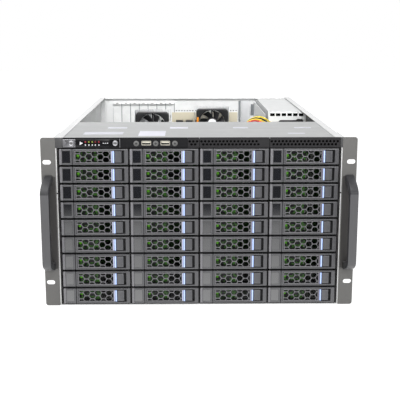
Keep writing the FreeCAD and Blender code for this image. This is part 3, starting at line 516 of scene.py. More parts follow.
print("stage: control strip")
strip = {"low": 250.1, "middle": 257.4, "sheet": 1.2, "ends": ((-219.0, -207.3), (215.6, 219.0)),
         "fold": (-215.9, 215.9, 15.0), "backing": (-119.0, 215.0), "plain": (-120.0, -17.6), "seam": -66.1,
         "fields": ((-17.4, 0.0, 0.0), (0.6, 106.8, 94.0), (107.6, 215.4, 215.4)), "pitch": 5.58, "hole": 1.95,
         "rows": 2.35, "silver": (-207.0, -187.7), "panel": (-187.5, -121.2), "cut": -136.0, "half": 6.0,
         "deep": 6.0, "ports": (-80.5, -51.7), "port": (14.4, 6.8), "screws": (-95.8, -66.2, -37.1),
         "lamps": (-172.7, -167.4, -162.2, -157.7, -152.3), "arrow": (-179.6, 3.1), "bars": -146.4,
         "mark": -0.88, "power": -194.0, "reset": -127.5, "bore": 4.4}
low, high = strip["low"], topEdge / mm
middle, thin, half = strip["middle"], strip["sheet"], strip["half"]


# perforated sheet: every cell is a rectangle drawn in to a round hole and back through the sheet
def perforate(build, x0, x1, stop):
    pitch, rows = strip["pitch"], strip["rows"]
    for z0, z1, z, shift in ((low, middle, middle - rows, 0.5), (middle, high, middle + rows, 0.0)):
        count = int((stop - x0) / pitch - shift)
        begin = x0 + shift * pitch
        for n in range(count):
            a = begin + n * pitch
            outer, inner = roundRect(a, a + pitch, z0, z1), circle(a + pitch / 2, z, strip["hole"])
            rings = [lay(outer, thin), lay(outer, 0.0), lay(inner, 0.0), lay(inner, thin)]
            build.add(surface(np.array(rings), wrap=True), fieldPaint)
        for a, b in ((x0, begin), (begin + count * pitch, x1)):
            if b - a > 0.2:  # what is left over stays plain
                build.add(slab(a, b, z0, z1, 0, thin, 0.02, 0.01, steps=2, count=2), fieldPaint)


def portSize(x, gap):  # a port's outline, drawn in by the gap
    w, h = (size / 2 - gap for size in strip["port"])
    return x - w, x + w, middle - h, middle + h


sheet = Build()
for a, b in strip["ends"]:
    sheet.add(slab(a, b, low, high, 0, thin, 0.8, 0.3), endPaint)
left, right = strip["plain"]
for x, a, b in zip(strip["ports"], (left, strip["seam"]), (strip["seam"], right)):
    sheet.add(window(roundRect(a, b, low, high), roundRect(*portSize(x, 0.0), 0.8), 0, thin, 0.02), stripPaint)
for field in strip["fields"]:
    perforate(sheet, *field)
# black backing behind the perforations: painted shade seen through the holes
sheet.add(slab(*strip["backing"], low + 1.3, high - 1.5, 3.2, 3.8, 0.5, 0.2), holeBlack)
a, b, deep = strip["fold"]
sheet.add(slab(a, b, thin, deep, low, low + thin, 0.4, 0.2, "top"), stripPaint)
for z0, z1 in ((low, middle - half - 0.1), (middle + half + 0.1, high)):
    sheet.add(slab(strip["ends"][0][1] + 0.2, left, z0, z1, 0, thin, 0.3, 0.15), stripPaint)
fix(sheet, "controlSheet", "strip_paint", "control_strip")

insert = Build()
a, b = strip["panel"]
z0, z1, deep, mark = middle - half, middle + half, strip["deep"], strip["mark"]
insert.add(window(roundRect(*strip["silver"], z0, z1, 0.5), circle(strip["power"], middle, strip["bore"]),
                  -0.9, deep, 0.3), buttonMetal)
insert.add(slab(a, strip["cut"], z0, z1, -0.8, deep, 0.4, 0.25), panelGloss)
insert.add(window(roundRect(strip["cut"], b, z0, z1, 0.4), circle(strip["reset"], middle, strip["bore"]),
                  -0.8, deep, 0.25), panelGloss)
insert.add(slab(b + 0.2, b + 1.0, z0 - 0.8, z1 + 0.8, -0.3, thin, 0.2, 0.15), barPlastic)
# the white marks below the lamps carry a faint painted glow
for x, lens in zip(strip["lamps"], (lampRed, lampGreen, lampGreen, lampDim, lampRed)):
    insert.add(slab(x - 1.1, x + 1.1, middle + 0.6, middle + 3.4, -1.0, 0, 0.5, 0.2), lens)
    insert.add(slab(x - 0.9, x + 0.9, middle - 3.6, middle - 1.8, mark, 0, 0.4, 0.05), markWhite)
turn = np.linspace(0, 2 * np.pi, 3, endpoint=False)
x, reach = strip["arrow"]
arrow = np.stack([x + reach * np.cos(turn), middle + reach * np.sin(turn)], -1)
insert.add(surface(np.array([lay(arrow, mark), lay(arrow, 0.0)])), markWhite)
for n in range(3):
    x = strip["bars"] + n * 3.0
    insert.add(slab(x, x + 2.2, middle - 0.5, middle + 0.5, mark, 0, 0.3, 0.05), markWhite)
for x in strip["ports"]:
    insert.add(window(roundRect(*portSize(x, 0.1), 0.8), roundRect(*portSize(x, 0.8), 0.4), -0.5, 14, 0.25),
               whitePlastic)
    insert.add(slab(*portSize(x, 1.4)[:2], middle + 0.1, middle + 1.9, 0.6, 13.5, 0.2, 0.15), whitePlastic)
    insert.add(slab(*portSize(x, 0.4), 13.0, 14, 0.2, 0.1), socketPlastic)
    for n in range(4):
        a = x - 4.4 + n * 2.4
        insert.add(slab(a, a + 1.2, middle - 0.25, middle + 0.15, 0.9, 8, 0.1, 0.05), screwSteel)
fix(insert, "controlInsert", "panel_gloss", "control_panel")

heads = Build()
for x in strip["screws"]:
    z = middle - 0.6
    heads.add(revolve(x, z, [(4.2, 0.2), (4.2, -0.5), (3.7, -1.0), (2.4, -1.3), (1.2, -1.35)]), headSteel)
    # dark cross on each head: painted shade for the driver recess
    for w, h in ((2.0, 0.45), (0.45, 2.0)):
        heads.add(slab(x - w, x + w, z - h, z + h, -1.42, -1.2, 0.2, 0.04), recessPlastic)
fix(heads, "stripScrews", "button_metal")

capRim = [(4.1, 4.4), (4.1, -1.9), (3.7, -2.5), (3.3, -2.6), (2.9, -2.3), (2.4, -2.2), (2.1, -2.45), (0.8, -2.5)]
capCore = [(1.9, -2.3), (1.9, -2.55), (1.5, -2.58)]
for node, x in (("power_button", strip["power"]), ("reset_button", strip["reset"])):
    cap = Build()
    cap.add(revolve(x, middle, capRim, count=28), buttonMetal)
    cap.add(revolve(x, middle, capCore, count=20), headSteel)
    put(node.replace("_b", "B"), placed(cap, node), node, "button_metal", node)


print("stage: ears, handles and case")
folded = earPaint.axis("Y") > front + 0.0025  # the ears' side flanges stay bare zinc
earPaint.coat(folded, 206, 207, 208)
dress("rack_ears", earPaint)
bow = {"x": 230.7, "wide": 13.0, "thick": 12.0, "corner": 1.6, "rounds": 4, "grip": 53.0, "sheet": 0.5,
       "path": ((2, 69), (-8, 68.4), (-39, 56), (-39, 48)), "foot": (-10.5, 5.5, 73.0)}
midHigh = topEdge / mm / 2
# painted shade: the handles' inner side faces are coloured darker, as if little light reaches them
inner = handlePaint.axis("X").math("ABSOLUTE") < (bow["x"] - bow["wide"] / 2 + 0.3) * mm
shadedSlope = handlePaint.axis("Z") > topEdge / 2 + bow["grip"] * mm  # painted shade: above the grip the bar is coloured darker, where its upward slope mirrors dark surroundings
handlePaint.coat(inner, 46, 46, 48)
handlePaint.coat(shadedSlope, 50, 50, 53)


# bow: rounded section along a line whose corners are cut at a quarter and three quarters, again and again
def addBow(build, x):
    line = np.array(bow["path"], float)
    line = np.vstack([line, line[::-1] * (1, -1)])
    for n in range(bow["rounds"]):
        cut = np.stack([line[:-1] * 0.75 + line[1:] * 0.25, line[:-1] * 0.25 + line[1:] * 0.75], 1)
        line = np.vstack([line[:1], cut.reshape(-1, 2), line[-1:]])
    along = np.gradient(line, axis=0)
    along /= np.linalg.norm(along, axis=1, keepdims=True)
    out = np.stack([along[:, 1], -along[:, 0]], -1)
    w, h = bow["wide"] / 2, bow["thick"] / 2
    section = roundRect(-w, w, -h, h, bow["corner"], 5)
    rings = np.empty((len(line), len(section), 3))
    rings[..., 0] = x + section[:, 0]
    rings[..., 1] = np.minimum(line[:, :1] + section[:, 1] * out[:, :1], 0.0)
    rings[..., 2] = midHigh + line[:, 1:] + section[:, 1] * out[:, 1:]
    build.add(surface(rings), handlePaint)


bows = Build()
a, b, tall = bow["foot"]
for side in (-1, 1):
    addBow(bows, side * bow["x"])
    # dark plate on the ear behind each handle: painted shade where the handle shadows the ear
    bows.add(slab(*sided(side, bow["x"] + a, bow["x"] + b), midHigh - tall, midHigh + tall, -bow["sheet"], 0.0,
                  1.5, 0.2), shadePlatePaint)
fix(bows, "pullBows", "handle_paint", "pull_handles", sharp=40)

dress("base_pan", caseSteel)
dress("top_plate", plateSteel)
cageSteel = zincSteel("cageSteel", (206, 208, 210), (236, 236, 236), (1, 1, 0.1), 0.2)
edges = cageSteel.axis("Y") < front + 0.03  # painted shade: the cage's front is coloured dark where it shows in the gaps between the trays
cageSteel.coat(edges, 18, 18, 20)
dress("drive_cage", cageSteel)
deckSteel = zincSteel("deckSteel", (226, 228, 230), (250, 250, 250), (1, 1, 0.1), 0.15)
paintedLightSplit = deckSteel.axis("Z") < (box("psu")[0][2] + 0.3) * mm  # painted light: the bracket on the deck is coloured paler than the deck floor, to offset its shading
deckSteel.coat(paintedLightSplit, 210, 211, 212)
dress("board_deck", deckSteel)

patches = Build()
plateTop = topEdge / mm - 1.2
for x0, x1, y0, y1, finish in ((-181.6, -119.6, 46, 76, patchFaint), (-94.4, -52.6, 27, 88, patchPaper),
                               (-150, -118, 122, 140, patchFaint), (-47, -17, 120, 140, patchPaper),
                               (58, 83, 122, 138, patchFaint), (160, 188, 122, 136, patchFaint),
                               (141, 168, 50, 62, patchFaint)):
    patches.add(slab(x0, x1, y0, y1, plateTop, plateTop + 0.15, 1.0, 0.05, "top"), finish)
fix(patches, "plainPatches", "case_steel")

rivet = {"wall": 219.0, "wallY": (90.0, 190.0, 290.0, 400.0, 510.0, 620.0, 680.0), "wallZ": (14.0, 132.0, 250.0),
         "ear": 221.0, "earY": 45.0, "earZ": (40.0, 132.0, 226.0)}
rivets = Build()
for side in (-1, 1):
    for y in rivet["wallY"]:
        for z in rivet["wallZ"]:
            rivets.add(dome(y, z, 2.6, side * rivet["wall"], side * 1.1, "side"), screwSteel)
    for z in rivet["earZ"]:
        rivets.add(dome(rivet["earY"], z, 3.2, side * rivet["ear"], side * 1.4, "side"), screwSteel)
fix(rivets, "caseRivets", "case_steel")

hem = {"in": 217.1, "out": 218.8, "dark": 215.9, "near": 0.9, "far": 1.3, "low": 1.5, "high": 250.0,
       "notch": (178.6, 180.6)}
near, far = hem["near"], hem["far"]
hems = Build()
for side in (-1, 1):  # bright folded edge between each ear and the trays, with painted shade in the gap beside it and in its split
    bright, dark = sided(side, hem["in"], hem["out"]), sided(side, hem["dark"], hem["in"])
    for z0, z1 in ((hem["low"], hem["notch"][0]), (hem["notch"][1], hem["high"])):
        hems.add(slab(*bright, z0, z1, near, far, 0.3, 0.15), hemSteel)
    # black strip beside the hem and dark fill in its split: painted shade in the gaps
    hems.add(slab(*dark, hem["low"], hem["high"], near + 0.1, far, 0.3, 0.1), holeBlack)
    hems.add(slab(*bright, *hem["notch"], near + 0.1, far, 0.3, 0.1), recessPlastic)
fix(hems, "brightHems", "case_steel")


print("stage: backplane and fans")
boardY = box("backplane")[0][1] + 7.0  # the board's face behind its sockets
dress("backplane", boardFinish("backplaneBoard", lambda f: f.axis("Y") < boardY * mm + front - 0.0002,
                               (22, 66, 24), (70, 120, 50)))
backBits = ((-30, 4, 5, 3, 1.4, socketPlastic), (-28, -6, 3, 2, 1, whitePlastic), (-2, 6, 8, 5, 1.6, socketPlastic),
            (12, 7, 2.4, 1.6, 1, whitePlastic), (27, 5, 3, 6, 2.2, whitePlastic), (30, -5, 4, 2, 1, screwSteel))
bits = Build()
for node in trayNodes:
    a, b = box(node)
    for dx, dz, w, h, deep, finish in backBits:
        bits.add(brick((a[0] + b[0]) / 2 + dx, (a[2] + b[2]) / 2 + dz, w, h, boardY - deep, boardY), finish)
fix(bits, "backplaneBits", "backplane_board")

wallFace = box("fan_wall")[0][1] + 1.2
wallFinish = Finish("fanWall", roughness=0.42)
sheetMask = wallFinish.axis("Y") < wallFace * mm + front + 0.0001
cloud = wallFinish.noise(40, 4)
frames = wallFinish.blend(cloud, tone(22, 22, 24), tone(36, 36, 38))
wall = wallFinish.blend(cloud, tone(170, 170, 168), tone(210, 210, 206))
wallFinish.feed(basecolor=wallFinish.blend(sheetMask, frames, wall))
dress("fan_wall", wallFinish)
blade = {"count": 7, "root": 1.5, "chord": (0.95, 0.25), "lean": (52, 18), "sweep": 0.35, "swell": 1.1,
         "half": 0.7, "flat": 0.8}


# blade: a thin lens section set at an angle that eases from root to tip
def addRotor(name, node, x, z, near, far, hub, tip, cap):
    build = Build()
    barrel = [(hub, far), (hub, near + 1.2), (hub - 1.0, near + 0.2), (hub - 2.0, near)]
    badge = [(hub - 2.1, near + 0.1), (hub - 2.1, near - 0.15), (hub - 2.7, near - 0.2)]
    for profile, finish in ((barrel, fanPlastic), (badge, cap)):
        build.add(revolve(x, z, profile, count=24), finish)
    span = np.linspace(0, 1, 7)[:, None]
    ring = np.linspace(0, 2 * np.pi, 12, endpoint=False)
    reach = hub - blade["root"] + (tip - hub + blade["root"]) * span
    chord = (far - near) * (blade["chord"][0] + blade["chord"][1] * span)
    lean = np.radians(blade["lean"][0] - blade["lean"][1] * span)
    s = np.cos(ring) * chord / 2 * blade["swell"]
    thick = np.sin(ring) * blade["half"]
    across = s * np.cos(lean) - thick * np.sin(lean)
    along = s * np.sin(lean) + thick * np.cos(lean)
    depth = np.clip((near + far) / 2 + along * blade["flat"], near, far)
    for n in range(blade["count"]):
        swing = 2 * np.pi * n / blade["count"] + blade["sweep"] * span + across / reach
        build.add(surface(np.stack([x + reach * np.cos(swing), depth, z + reach * np.sin(swing)], -1)), fanPlastic)
    put(name, placed(build, node), node, "fan_plastic", node)


fan = {"middle": 118.0, "hub": 20.0, "tip": 55.0}
for n in (1, 2, 3):
    node = f"fan_rotor_{n}"
    a, b = box(node)
    addRotor(f"fanRotor{n}", node, (a[0] + b[0]) / 2, fan["middle"], a[1] + 1, b[1], fan["hub"], fan["tip"],
             latchPlastic)


print("stage: main board and coolers")
left, near, bottom = box("motherboard")[0]
boardTop = bottom + 1.6
dress("motherboard", boardFinish("mainBoard", lambda f: f.axis("Z") > (boardTop + 0.3) * mm,
                                 (16, 44, 30), (40, 84, 52)))
cooler = {"wide": 70.0, "high": 62.0, "deep": 20.0, "bore": 29.0, "corner": 7.0, "lift": 1.0, "hub": 12.0,
          "tip": 27.2, "post": (30.5, 26.5), "finWide": 76.0, "finHigh": 64.0, "finDeep": 48.0, "fin": 0.8,
          "fins": 24, "base": 8.0, "pipes": (12.0, 24.0, 36.0), "pipeHigh": 50.0}
coolerLow = boardTop + cooler["lift"]
coolerMiddle = coolerLow + cooler["high"] / 2


def addCooler(build, x, y):
    half, bore, hub, z = cooler["wide"] / 2, cooler["bore"], cooler["hub"], coolerMiddle
    back = y + cooler["deep"]
    build.add(window(roundRect(x - half, x + half, coolerLow, coolerLow + cooler["high"], cooler["corner"], 8),
                     circle(x, z, bore, 32), y, back, 0.8), fanPlastic)
    for w, h in ((bore, 1.6), (1.6, bore)):
        build.add(slab(x - w, x + w, z - h, z + h, back - 3.0, back, 0.5, 0.3), fanPlastic)
    build.add(revolve(x, z, [(hub, back), (hub, back - 3.7), (hub - 1.0, back - 4.0)]), fanPlastic)
    dx, dz = cooler["post"]
    for px in (x - dx, x + dx):
        for pz in (z - dz, z + dz):
            build.add(dome(px, pz, 2.2, y + 0.1, -0.8), socketPlastic)
    half, fin, base = cooler["finWide"] / 2, cooler["fin"], boardTop + cooler["base"]
    y0, y1 = back + 0.2, back + cooler["finDeep"]
    build.add(slab(x - half, x + half, y0, y1, boardTop, base, 1.0, 0.5, "top"), finMetal)
    for a in np.linspace(x - half, x + half - fin, cooler["fins"]):
        build.add(slab(y0, y1, base - 1, boardTop + cooler["finHigh"], a, a + fin, 2.0, 0.1, "side", 2, 3), finMetal)
    for dy in cooler["pipes"]:  # heat pipe ends in the outermost fins
        for side in (-1, 1):
            build.add(dome(back + dy, boardTop + cooler["pipeHigh"], 3.0, x + side * half, side * 0.9, "side", 10),
                      screwSteel)


coolers = Build()
for side, cap in (("left", fanPlastic), ("right", hubWhite)):
    node = f"cooler_rotor_{side}"
    a, b = box(node)
    x, y = (a[0] + b[0]) / 2, a[1] - 1.7
    addCooler(coolers, x, y)
    if side == "right":  # orange seal on the left web of the fan frame
        coolers.add(slab(x - 34.0, x - 30.0, coolerMiddle + 2.0, coolerMiddle + 14.0, y - 0.4, y + 0.2, 0.8, 0.2),
                    orangePlastic)
    addRotor(f"coolerRotor{side.title()}", node, x, coolerMiddle, a[1], b[1], cooler["hub"], cooler["tip"], cap)
fix(coolers, "processorCoolers", "cooler_metal", "cpu_coolers")

parts = Build()


def chip(x, y, w, h, tall, finish, r=0.4, edge=0.2, up=0.0, **detail):  # block by its near left corner
    x, y, z = left + x, near + y, boardTop + up
    parts.add(slab(x, x + w, y, y + h, z, z + tall, r, edge, "top", **detail), finish)


for n in range(8):  # memory latches and the keyed slot in each socket
    x = 20 + n % 4 * 10 + n // 4 * 160
    for y in (12, 145):
        chip(x + 0.3, y, 5.9, 7, 8, whitePlastic, 1.0, 0.4, 9)
    chip(x + 2.6, 22, 1.3, 120, 0.25, screwSteel, 0.3, 0.05, 8.9)
for n in range(14):  # electrolytic cans beside the memory banks
    can = [(r, boardTop + up) for r, up in ((4.0, 0), (4.0, 9), (3.6, 9.6), (2.9, 9.6))]
    parts.add(revolve(left + 90 + n % 7 * 11, near + 20 + n // 7 * 14, can, "top", 14), finMetal)
for n in range(10):  # chokes
    chip(70 + n * 11, 60, 9, 9, 6, latchPlastic, 1.5, 0.6)
for n in range(9):  # low fins on the bridge chip
    x = left + 120 + n * 4
    parts.add(slab(near + 90, near + 128, boardTop + 3, boardTop + 14, x, x + 1.6, 0.6, 0.2, "side", 2, 3), finMetal)
chip(118, 88, 38, 42, 4, finMetal, 1.0, 0.4)
for n in range(4):
    chip(12 + n * 30, 176, 14, 14, 1.4, socketPlastic)
for n in range(6):  # plugs along the near edge
    chip(60 + n * 17, 3, 14, 6, 8, whitePlastic if n % 3 else socketPlastic, 0.5, 0.3)
for x, y, w, h in ((240, 118, 15, 15), (264, 158, 10, 10), (242, 186, 8, 12), (270, 60, 12, 8), (82, 140, 10, 10)):
    chip(x, y, w, h, 1.5, socketPlastic, 0.3)
for x, y, count in ((232, 104, 11), (232, 108, 11), (232, 146, 9), (236, 206, 10), (100, 146, 13), (100, 150, 13),
                    (228, 40, 8), (228, 44, 8), (66, 84, 9)):
    for n in range(count):  # rows of small resistors and capacitors
        chip(x + n * 5.2, y, 2.6, 1.4, 0.9, whitePlastic if n % 4 == 1 else headSteel, 0.2, 0.1, steps=2, count=2)
for x in (18, 282):  # screws over the stand-offs
    for y in (18, 165, 312):
        parts.add(dome(left + x, near + y, 3.6, boardTop, 1.6, "top"), screwSteel)
fix(parts, "boardParts", "main_board")


print("stage: power supply, rear panel and leads")
supplySteel = zincSteel("supplySteel", (198, 199, 199), (226, 227, 227), (1, 1, 1), 0.25, 0.5)
low, high = box("psu")
(x0, y0, z0), (x1, y1, z1) = low, high
face = supplySteel.axis("Y") < (y0 + 0.3) * mm + front  # its front plate is painted white
supplySteel.coat(face, 246, 247, 247)
dress("psu", supplySteel)
deckTop = boardTop - 8.1
# painted shade colour for the wall beside the supply's front
shadeSheet = paint("shadeSheet", (46, 49, 51), 0.5, 1500, 0.15)
supply = Build()
# black inserts in the supply's front slots: painted shade in the slots
for n in range(6):
    x = x0 + 3.7 + n * 11.4
    supply.add(slab(x, x + 8.8, z1 - 9.0, z1 - 3.5, y0 - 0.25, y0 + 2.9, 0.4, 0.1), holeBlack)
supply.add(slab(x0 + 20, x1 - 5, z0 + 14, z1 - 17.0, y0 - 0.4, y0, 5.0, 0.3), socketPlastic)
supply.add(slab(x1 - 20, x1 - 5.5, z0 + 30, z1 - 14.6, y0 - 0.5, y0, 4.0, 0.3), socketPlastic)
for x in (x0 + 5, x1 - 5):
    for y in (y0 + 8, y1 - 8):
        supply.add(dome(x, y, 2.6, z1 - 0.05, 0.45, "top"), screwSteel)
supply.add(slab(225.0, y0 - 2.0, deckTop + 4.0, z1 - 1.0, x1 - 0.9, x1 - 0.05, 2.0, 0.2, "side"),
           shadeSheet)  # dark sheet on the wall ahead of the supply: painted shade where the wall lies in shadow
fix(supply, "supplyTrim", "supply_steel")

rear = {"in": 698.8, "out": 700.0, "covers": 7, "first": -180.0, "step": 20.32, "cover": 18.6, "tab": 75.0,
        "row": (-190.0, -45.0), "shield": (-53.5, 98.5, 4.0, 54.0), "margin": 0.1, "back": 698.85, "flush": 699.9}
# its pale tones are painted light for the inner face, which lies in the dim bay
rearFinish = zincSteel("rearSteel", (230, 231, 231), (250, 250, 250), (1, 1, 0.2), 0.15)
rearIn, rearOut = rear["in"] * mm + front, rear["out"] * mm + front
x0, x1, z0, z1 = rear["shield"]
z0, z1, margin, tab = deckTop + z0, deckTop + z1, rear["margin"], deckTop + rear["tab"]
shield = (rearFinish.between("X", (x0 - margin) * mm, (x1 + margin) * mm)
          * rearFinish.between("Z", (z0 - margin) * mm, (z1 + margin) * mm)
          * rearFinish.between("Y", rearIn - 0.0011, rearIn + 0.0002))
tan = rearFinish.blend(rearFinish.noise(50, 3), tone(196, 188, 166), tone(216, 208, 186))
begin = (rear["cover"] / 2 - rear["first"]) * mm
# painted shade: grey stripes in the gaps between the slot covers
phase = ((rearFinish.axis("X") + begin) / (rear["step"] * mm)).math("FLOORED_MODULO", 1.0)
gap = ((phase > rear["cover"] / rear["step"]) * rearFinish.between("X", *(x * mm for x in rear["row"]))
       * rearFinish.between("Z", (deckTop + 3) * mm, tab * mm))
inside = rearFinish.blend(shield, rearFinish.over(gap, tone(150, 152, 156)), tan)
outside = rearFinish.axis("Y") > rearOut - 0.0004  # painted light: the inner face is coloured paler than the outer face, which keeps the case's duller zinc, to offset the dim light in the bay
dull = rearFinish.blend(rearFinish.noise(60, 4, (1, 1, 0.2)), tone(196, 197, 198), tone(222, 222, 222))
rearFinish.feed(basecolor=rearFinish.blend(outside, inside, dull))
dress("rear_panel", rearFinish)

shieldTan = paint("shieldTan", (206, 198, 176), 0.45, 1800, 0.1)
shadeGrey = paint("shadeGrey", (126, 130, 133), 0.5, 1500, 0.15)
ribSteel = zincSteel("ribSteel", (202, 203, 205), (220, 220, 222), (1, 1, 0.2), 0.3)
coverX = [rear["first"] + n * rear["step"] for n in range(rear["covers"])]
fittings = Build()
for x in coverX:  # cover screws on the tabs
    fittings.add(dome(x, 692.5, 3.2, tab, 1.8, "top"), screwSteel)
for n in range(24):  # small vents above the port shield, seen from inside
    x = -51 + n * 6.3
    fittings.add(slab(x, x + 3.2, deckTop + 57, deckTop + 59.4, 698.3, rear["back"], 0.8, 0.1), ventGrey)
for x in coverX:  # pressed plate of each slot cover, seen from outside
    fittings.add(slab(x - 6.4, x + 6.4, deckTop + 12.1, deckTop + 66.9, 698.7, 699.3, 1.2, 0.3), caseSteel)
fittings.add(slab(x0 + 4.1, x1 - 4.1, z0 + 4.1, z1 - 4.1, 698.7, 698.95, 0.5, 0.05), shieldTan)
fittings.add(slab(x0, x1, z0, z1, 697.5, 697.9, 0.5, 0.1), shieldTan)
# the near-black bricks inside the ports are painted shade in their openings
for x, z, w, h, finish in ((-42, 12, 14, 12, socketPlastic), (-42, 28, 14, 12, socketPlastic),
                           (-20, 10, 14, 7, socketPlastic), (-20, 19, 14, 7, socketPlastic),
                           (-20, 33, 15, 13, screwSteel), (-20, 32, 10, 8, holeBlack),
                           (2, 10, 14, 7, socketPlastic), (2, 19, 14, 7, socketPlastic),
                           (2, 33, 15, 13, screwSteel), (2, 32, 10, 8, holeBlack),
                           (33, 12, 30, 10, portBlue), (70, 12, 30, 10, portWine)):
    face = rear["flush"] + (0.05 if finish is holeBlack else -0.05)
    fittings.add(brick(x, z0 + z, w, h, rear["back"], face, 0.8, 0.2, 3, 4), finish)
x, z, guardZ = (low[0] + high[0]) / 2, low[2], low[2] + 57
for a, b, c, d, r in ((-30, -4, 12, 32, 2.0), (4, 16, 14, 30, 1.0)):  # the supply's inlet and switch
    fittings.add(slab(x + a, x + b, z + c, z + d, rear["back"], rear["flush"], r, 0.3), socketPlastic)
for n in range(5):  # rings of the wire guard over the supply's fan
    r = 4.0 + n * 4.4
    fittings.add(window(circle(x, guardZ, r, 32), circle(x, guardZ, r - 1.3, 32), 699.0, rear["flush"], 0.1),
                 screwSteel)
fittings.add(revolve(x, guardZ, [(23.0, 698.82), (23.0, 699.0), (22.8, 699.05)], count=32), socketPlastic)
for a, b, c, d, near, finish in ((101.0, 105.6, deckTop + 2, 258.0, 693.5, shadeGrey),
                                 (106.8, 128.0, deckTop + 2, 261.0, 698.1, ribSteel),
                                 (129.2, 140.5, 224.0, 250.0, 695.5, shadeGrey)):
    fittings.add(slab(a, b, c, d, near, 698.75, 0.8, 0.3), finish)  # rib and plates beside the supply; the dark grey rib and upper plate are painted shade
for n in range(12):  # black strips behind the duct slots: painted shade seen through them
    x = (n - 5.5) * 30.0
    fittings.add(slab(x - 6.0, x + 6.0, 28.0, 142.0, 697.8, 698.7, 1.0, 0.2), holeBlack)
fix(fittings, "rearFittings", "case_steel")

lead = {"radius": 1.8, "pitch": 5.0, "forward": 24.0, "crest": 5.5, "fall": 1.6, "spread": 3.0, "inset": 12.0,
        "under": 26.0, "drop": 20.0, "socketX": 85.0, "socketTop": boardTop + 12.0}
sleeveRed = gloss("sleeveRed", (190, 30, 34), (222, 58, 54), 90, 0.15, 0.3)
sleeveBlack = gloss("sleeveBlack", (18, 18, 20), (40, 40, 42), 90, 0.15, 0.3)
sleeveYellow = gloss("sleeveYellow", (222, 196, 40), (242, 222, 78), 90, 0.15, 0.3)
for n, finish in enumerate((sleeveYellow, sleeveBlack, sleeveYellow, sleeveRed)):
    step = n * lead["pitch"]
    exitX, exitY, exitZ = low[0] + lead["inset"], low[1], high[2] - lead["under"] - step
    y = exitY - lead["forward"] - step
    crest = topEdge / mm - lead["crest"] - n * lead["fall"]
    endX = lead["socketX"] + (1.5 - n) * lead["spread"]
    route = np.array([(exitX, exitY, exitZ), (exitX, y, exitZ), ((exitX + endX) / 2, y, crest),
                      (endX, y, crest - lead["drop"]), (endX, y, lead["socketTop"])])
    world = route * mm + np.array([0, front, 0])
    curve = bpy.data.curves.new(f"supplyLead{n + 1}", "CURVE")
    curve.dimensions = "3D"
    curve.bevel_resolution = 3
    curve.resolution_u = 16
    curve.use_fill_caps = True
    curve.materials.append(finish.material)
    spline = curve.splines.new("NURBS")
    spline.points.add(len(route) - 1)
    spline.points.foreach_set("co", np.column_stack([world, np.ones(len(world))]).ravel())
    spline.order_u = 3
    spline.use_endpoint_u = True
    made = bpy.data.objects.new(f"supplyLead{n + 1}", curve)
    scene.collection.objects.link(made)
    bpy.context.view_layer.update()  # measured as a bare line, then given its thickness
    line = bpy.data.meshes.new_from_object(made.evaluated_get(bpy.context.evaluated_depsgraph_get()))
    points = np.empty(len(line.vertices) * 3)
    line.vertices.foreach_get("co", points)
    bpy.data.meshes.remove(line)
    curve.bevel_depth = lead["radius"] * mm
    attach(made, "chassis")
    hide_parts("psu_wires")
    2 * lead["radius"] * mm


print("stage: light and camera")
studio = {"floorHalf": 6.0, "floorFront": -2.2, "sink": -0.0004, "card": (4.0, -2.6, -1.6, 0.7), "sky": 0.5,
          "key": 25.0, "fill": 30.0, "bay": 0.92, "white": 1.3, "share": 0.88, "fade": 1.2, "edge": 0.74,
          "sharp": 5.0, "dim": 0.06}
pale = Finish("floorPale", basecolor=(0.86, 0.86, 0.86, 1), roughness=0.9)
cardFinish = Finish("cardDark", basecolor=(0.03, 0.03, 0.035, 1), roughness=1.0)


def backdrop(name, corners, finish):
    mesh = bpy.data.meshes.new(name)
    mesh.from_pydata(corners, [], [[0, 1, 2, 3]])
    mesh.materials.append(finish.material)
    made = bpy.data.objects.new(name, mesh)
    scene.collection.objects.link(made)
    return made


def seen(tree):  # 1 for rays from the camera, also by way of a mirror or glass; and 1 for the mirrored ones
    node = tree.nodes.new("ShaderNodeLightPath")
    eye, mirror, glass = (Wire(tree, node.outputs[f"Is {kind} Ray"]) for kind in ("Camera", "Glossy", "Transmission"))
    return (eye + mirror + glass) > 0.5, mirror


def white(strength):
    return pale.node("Emission", None, {"Color": (1, 1, 1, 1), "Strength": strength})


shown, mirror = seen(pale.tree)
both = pale.node("MixShader", None, {0: shown * studio["share"], 1: Wire(pale.tree, pale.shader.outputs[0]),
                                     2: white(studio["white"])})
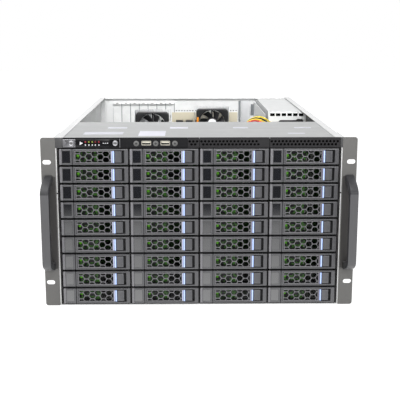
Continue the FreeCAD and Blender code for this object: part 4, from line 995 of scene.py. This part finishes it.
# mirrored in the trays, the pale floor fades as exp(-k d) and ends at an edge a little way ahead
ahead = (front - pale.axis("Y")).math("MAXIMUM", 0.0)
paper = ((studio["edge"] - ahead) * studio["sharp"]).clamp()
lost = 1 - (ahead * -studio["fade"]).math("EXPONENT") * paper
faded = pale.node("MixShader", None, {0: lost * mirror, 1: both, 2: white(studio["dim"])})
pale.tree.links.new(faded.socket, pale.tree.nodes["Material Output"].inputs[0])
w, y, z = studio["floorHalf"], studio["floorFront"], studio["sink"]
floor = backdrop("floor", [(-w, y, z), (w, y, z), (w, w, z), (-w, w, z)], pale)
w, y, z0, z1 = studio["card"]
card = backdrop("darkCard", [(-w, y, z0), (-w, y, z1), (w, y, z1), (w, y, z0)], cardFinish)
card.visible_camera = card.visible_diffuse = card.visible_shadow = False

world = bpy.data.worlds.new("studio")
scene.world = world
world.use_nodes = True
tree = world.node_tree
shade = tree.nodes["Background"]
shade.inputs["Color"].default_value = (1, 1, 1, 1)
tree.links.new((seen(tree)[0] * (1 - studio["sky"]) + studio["sky"]).socket, shade.inputs["Strength"])


def softbox(name, spot, aim, size, power, spread=180.0):
    data = bpy.data.lights.new(name, "AREA")
    data.shape, data.size, data.size_y, data.energy = "RECTANGLE", size[0], size[1], power
    data.spread = np.radians(spread)
    made = bpy.data.objects.new(name, data)
    made.location = spot
    made.rotation_euler = (Vector(aim) - Vector(spot)).to_track_quat("-Z", "Y").to_euler()
    scene.collection.objects.link(made)
    made.visible_camera = False
    return made


softbox("topBox", (-0.5, -0.2, 2.3), (0, 0.05, 0.2), (2.2, 1.8), studio["key"])
softbox("frontBox", (0.3, -2.4, 1.1), (0, -0.2, 0.12), (3.6, 1.6), studio["fill"])
bayBox = softbox("bayBox", (-0.05, -1.0, 0.9), (-0.06, 0.37, 0.26), (0.6, 0.3), studio["bay"], 40.0)
bayBox.visible_glossy = False  # a soft lift for the open bay, without a glare on the sheet

view = {"place": (-0.01833, -1.6173, 0.43866), "yaw": 0.01502, "pitch": 0.20611, "focal": 855.76, "frame": 400,
        "sensor": 36.0, "clip": 50}
cameraData = bpy.data.cameras.new("photoView")
cameraData.sensor_width = view["sensor"]
cameraData.lens = view["focal"] * view["sensor"] / view["frame"]
cameraData.clip_end = view["clip"]
camera = bpy.data.objects.new("photoView", cameraData)
scene.collection.objects.link(camera)
yaw, pitch = view["yaw"], view["pitch"]
ahead = Vector((np.sin(yaw) * np.cos(pitch), np.cos(yaw) * np.cos(pitch), -np.sin(pitch)))
right = Vector((np.cos(yaw), -np.sin(yaw), 0))
up = right.cross(ahead)
camera.matrix_world = Matrix.Translation(view["place"]) @ Matrix((right, up, -ahead)).transposed().to_4x4()
scene.camera = camera

print("stage: done")
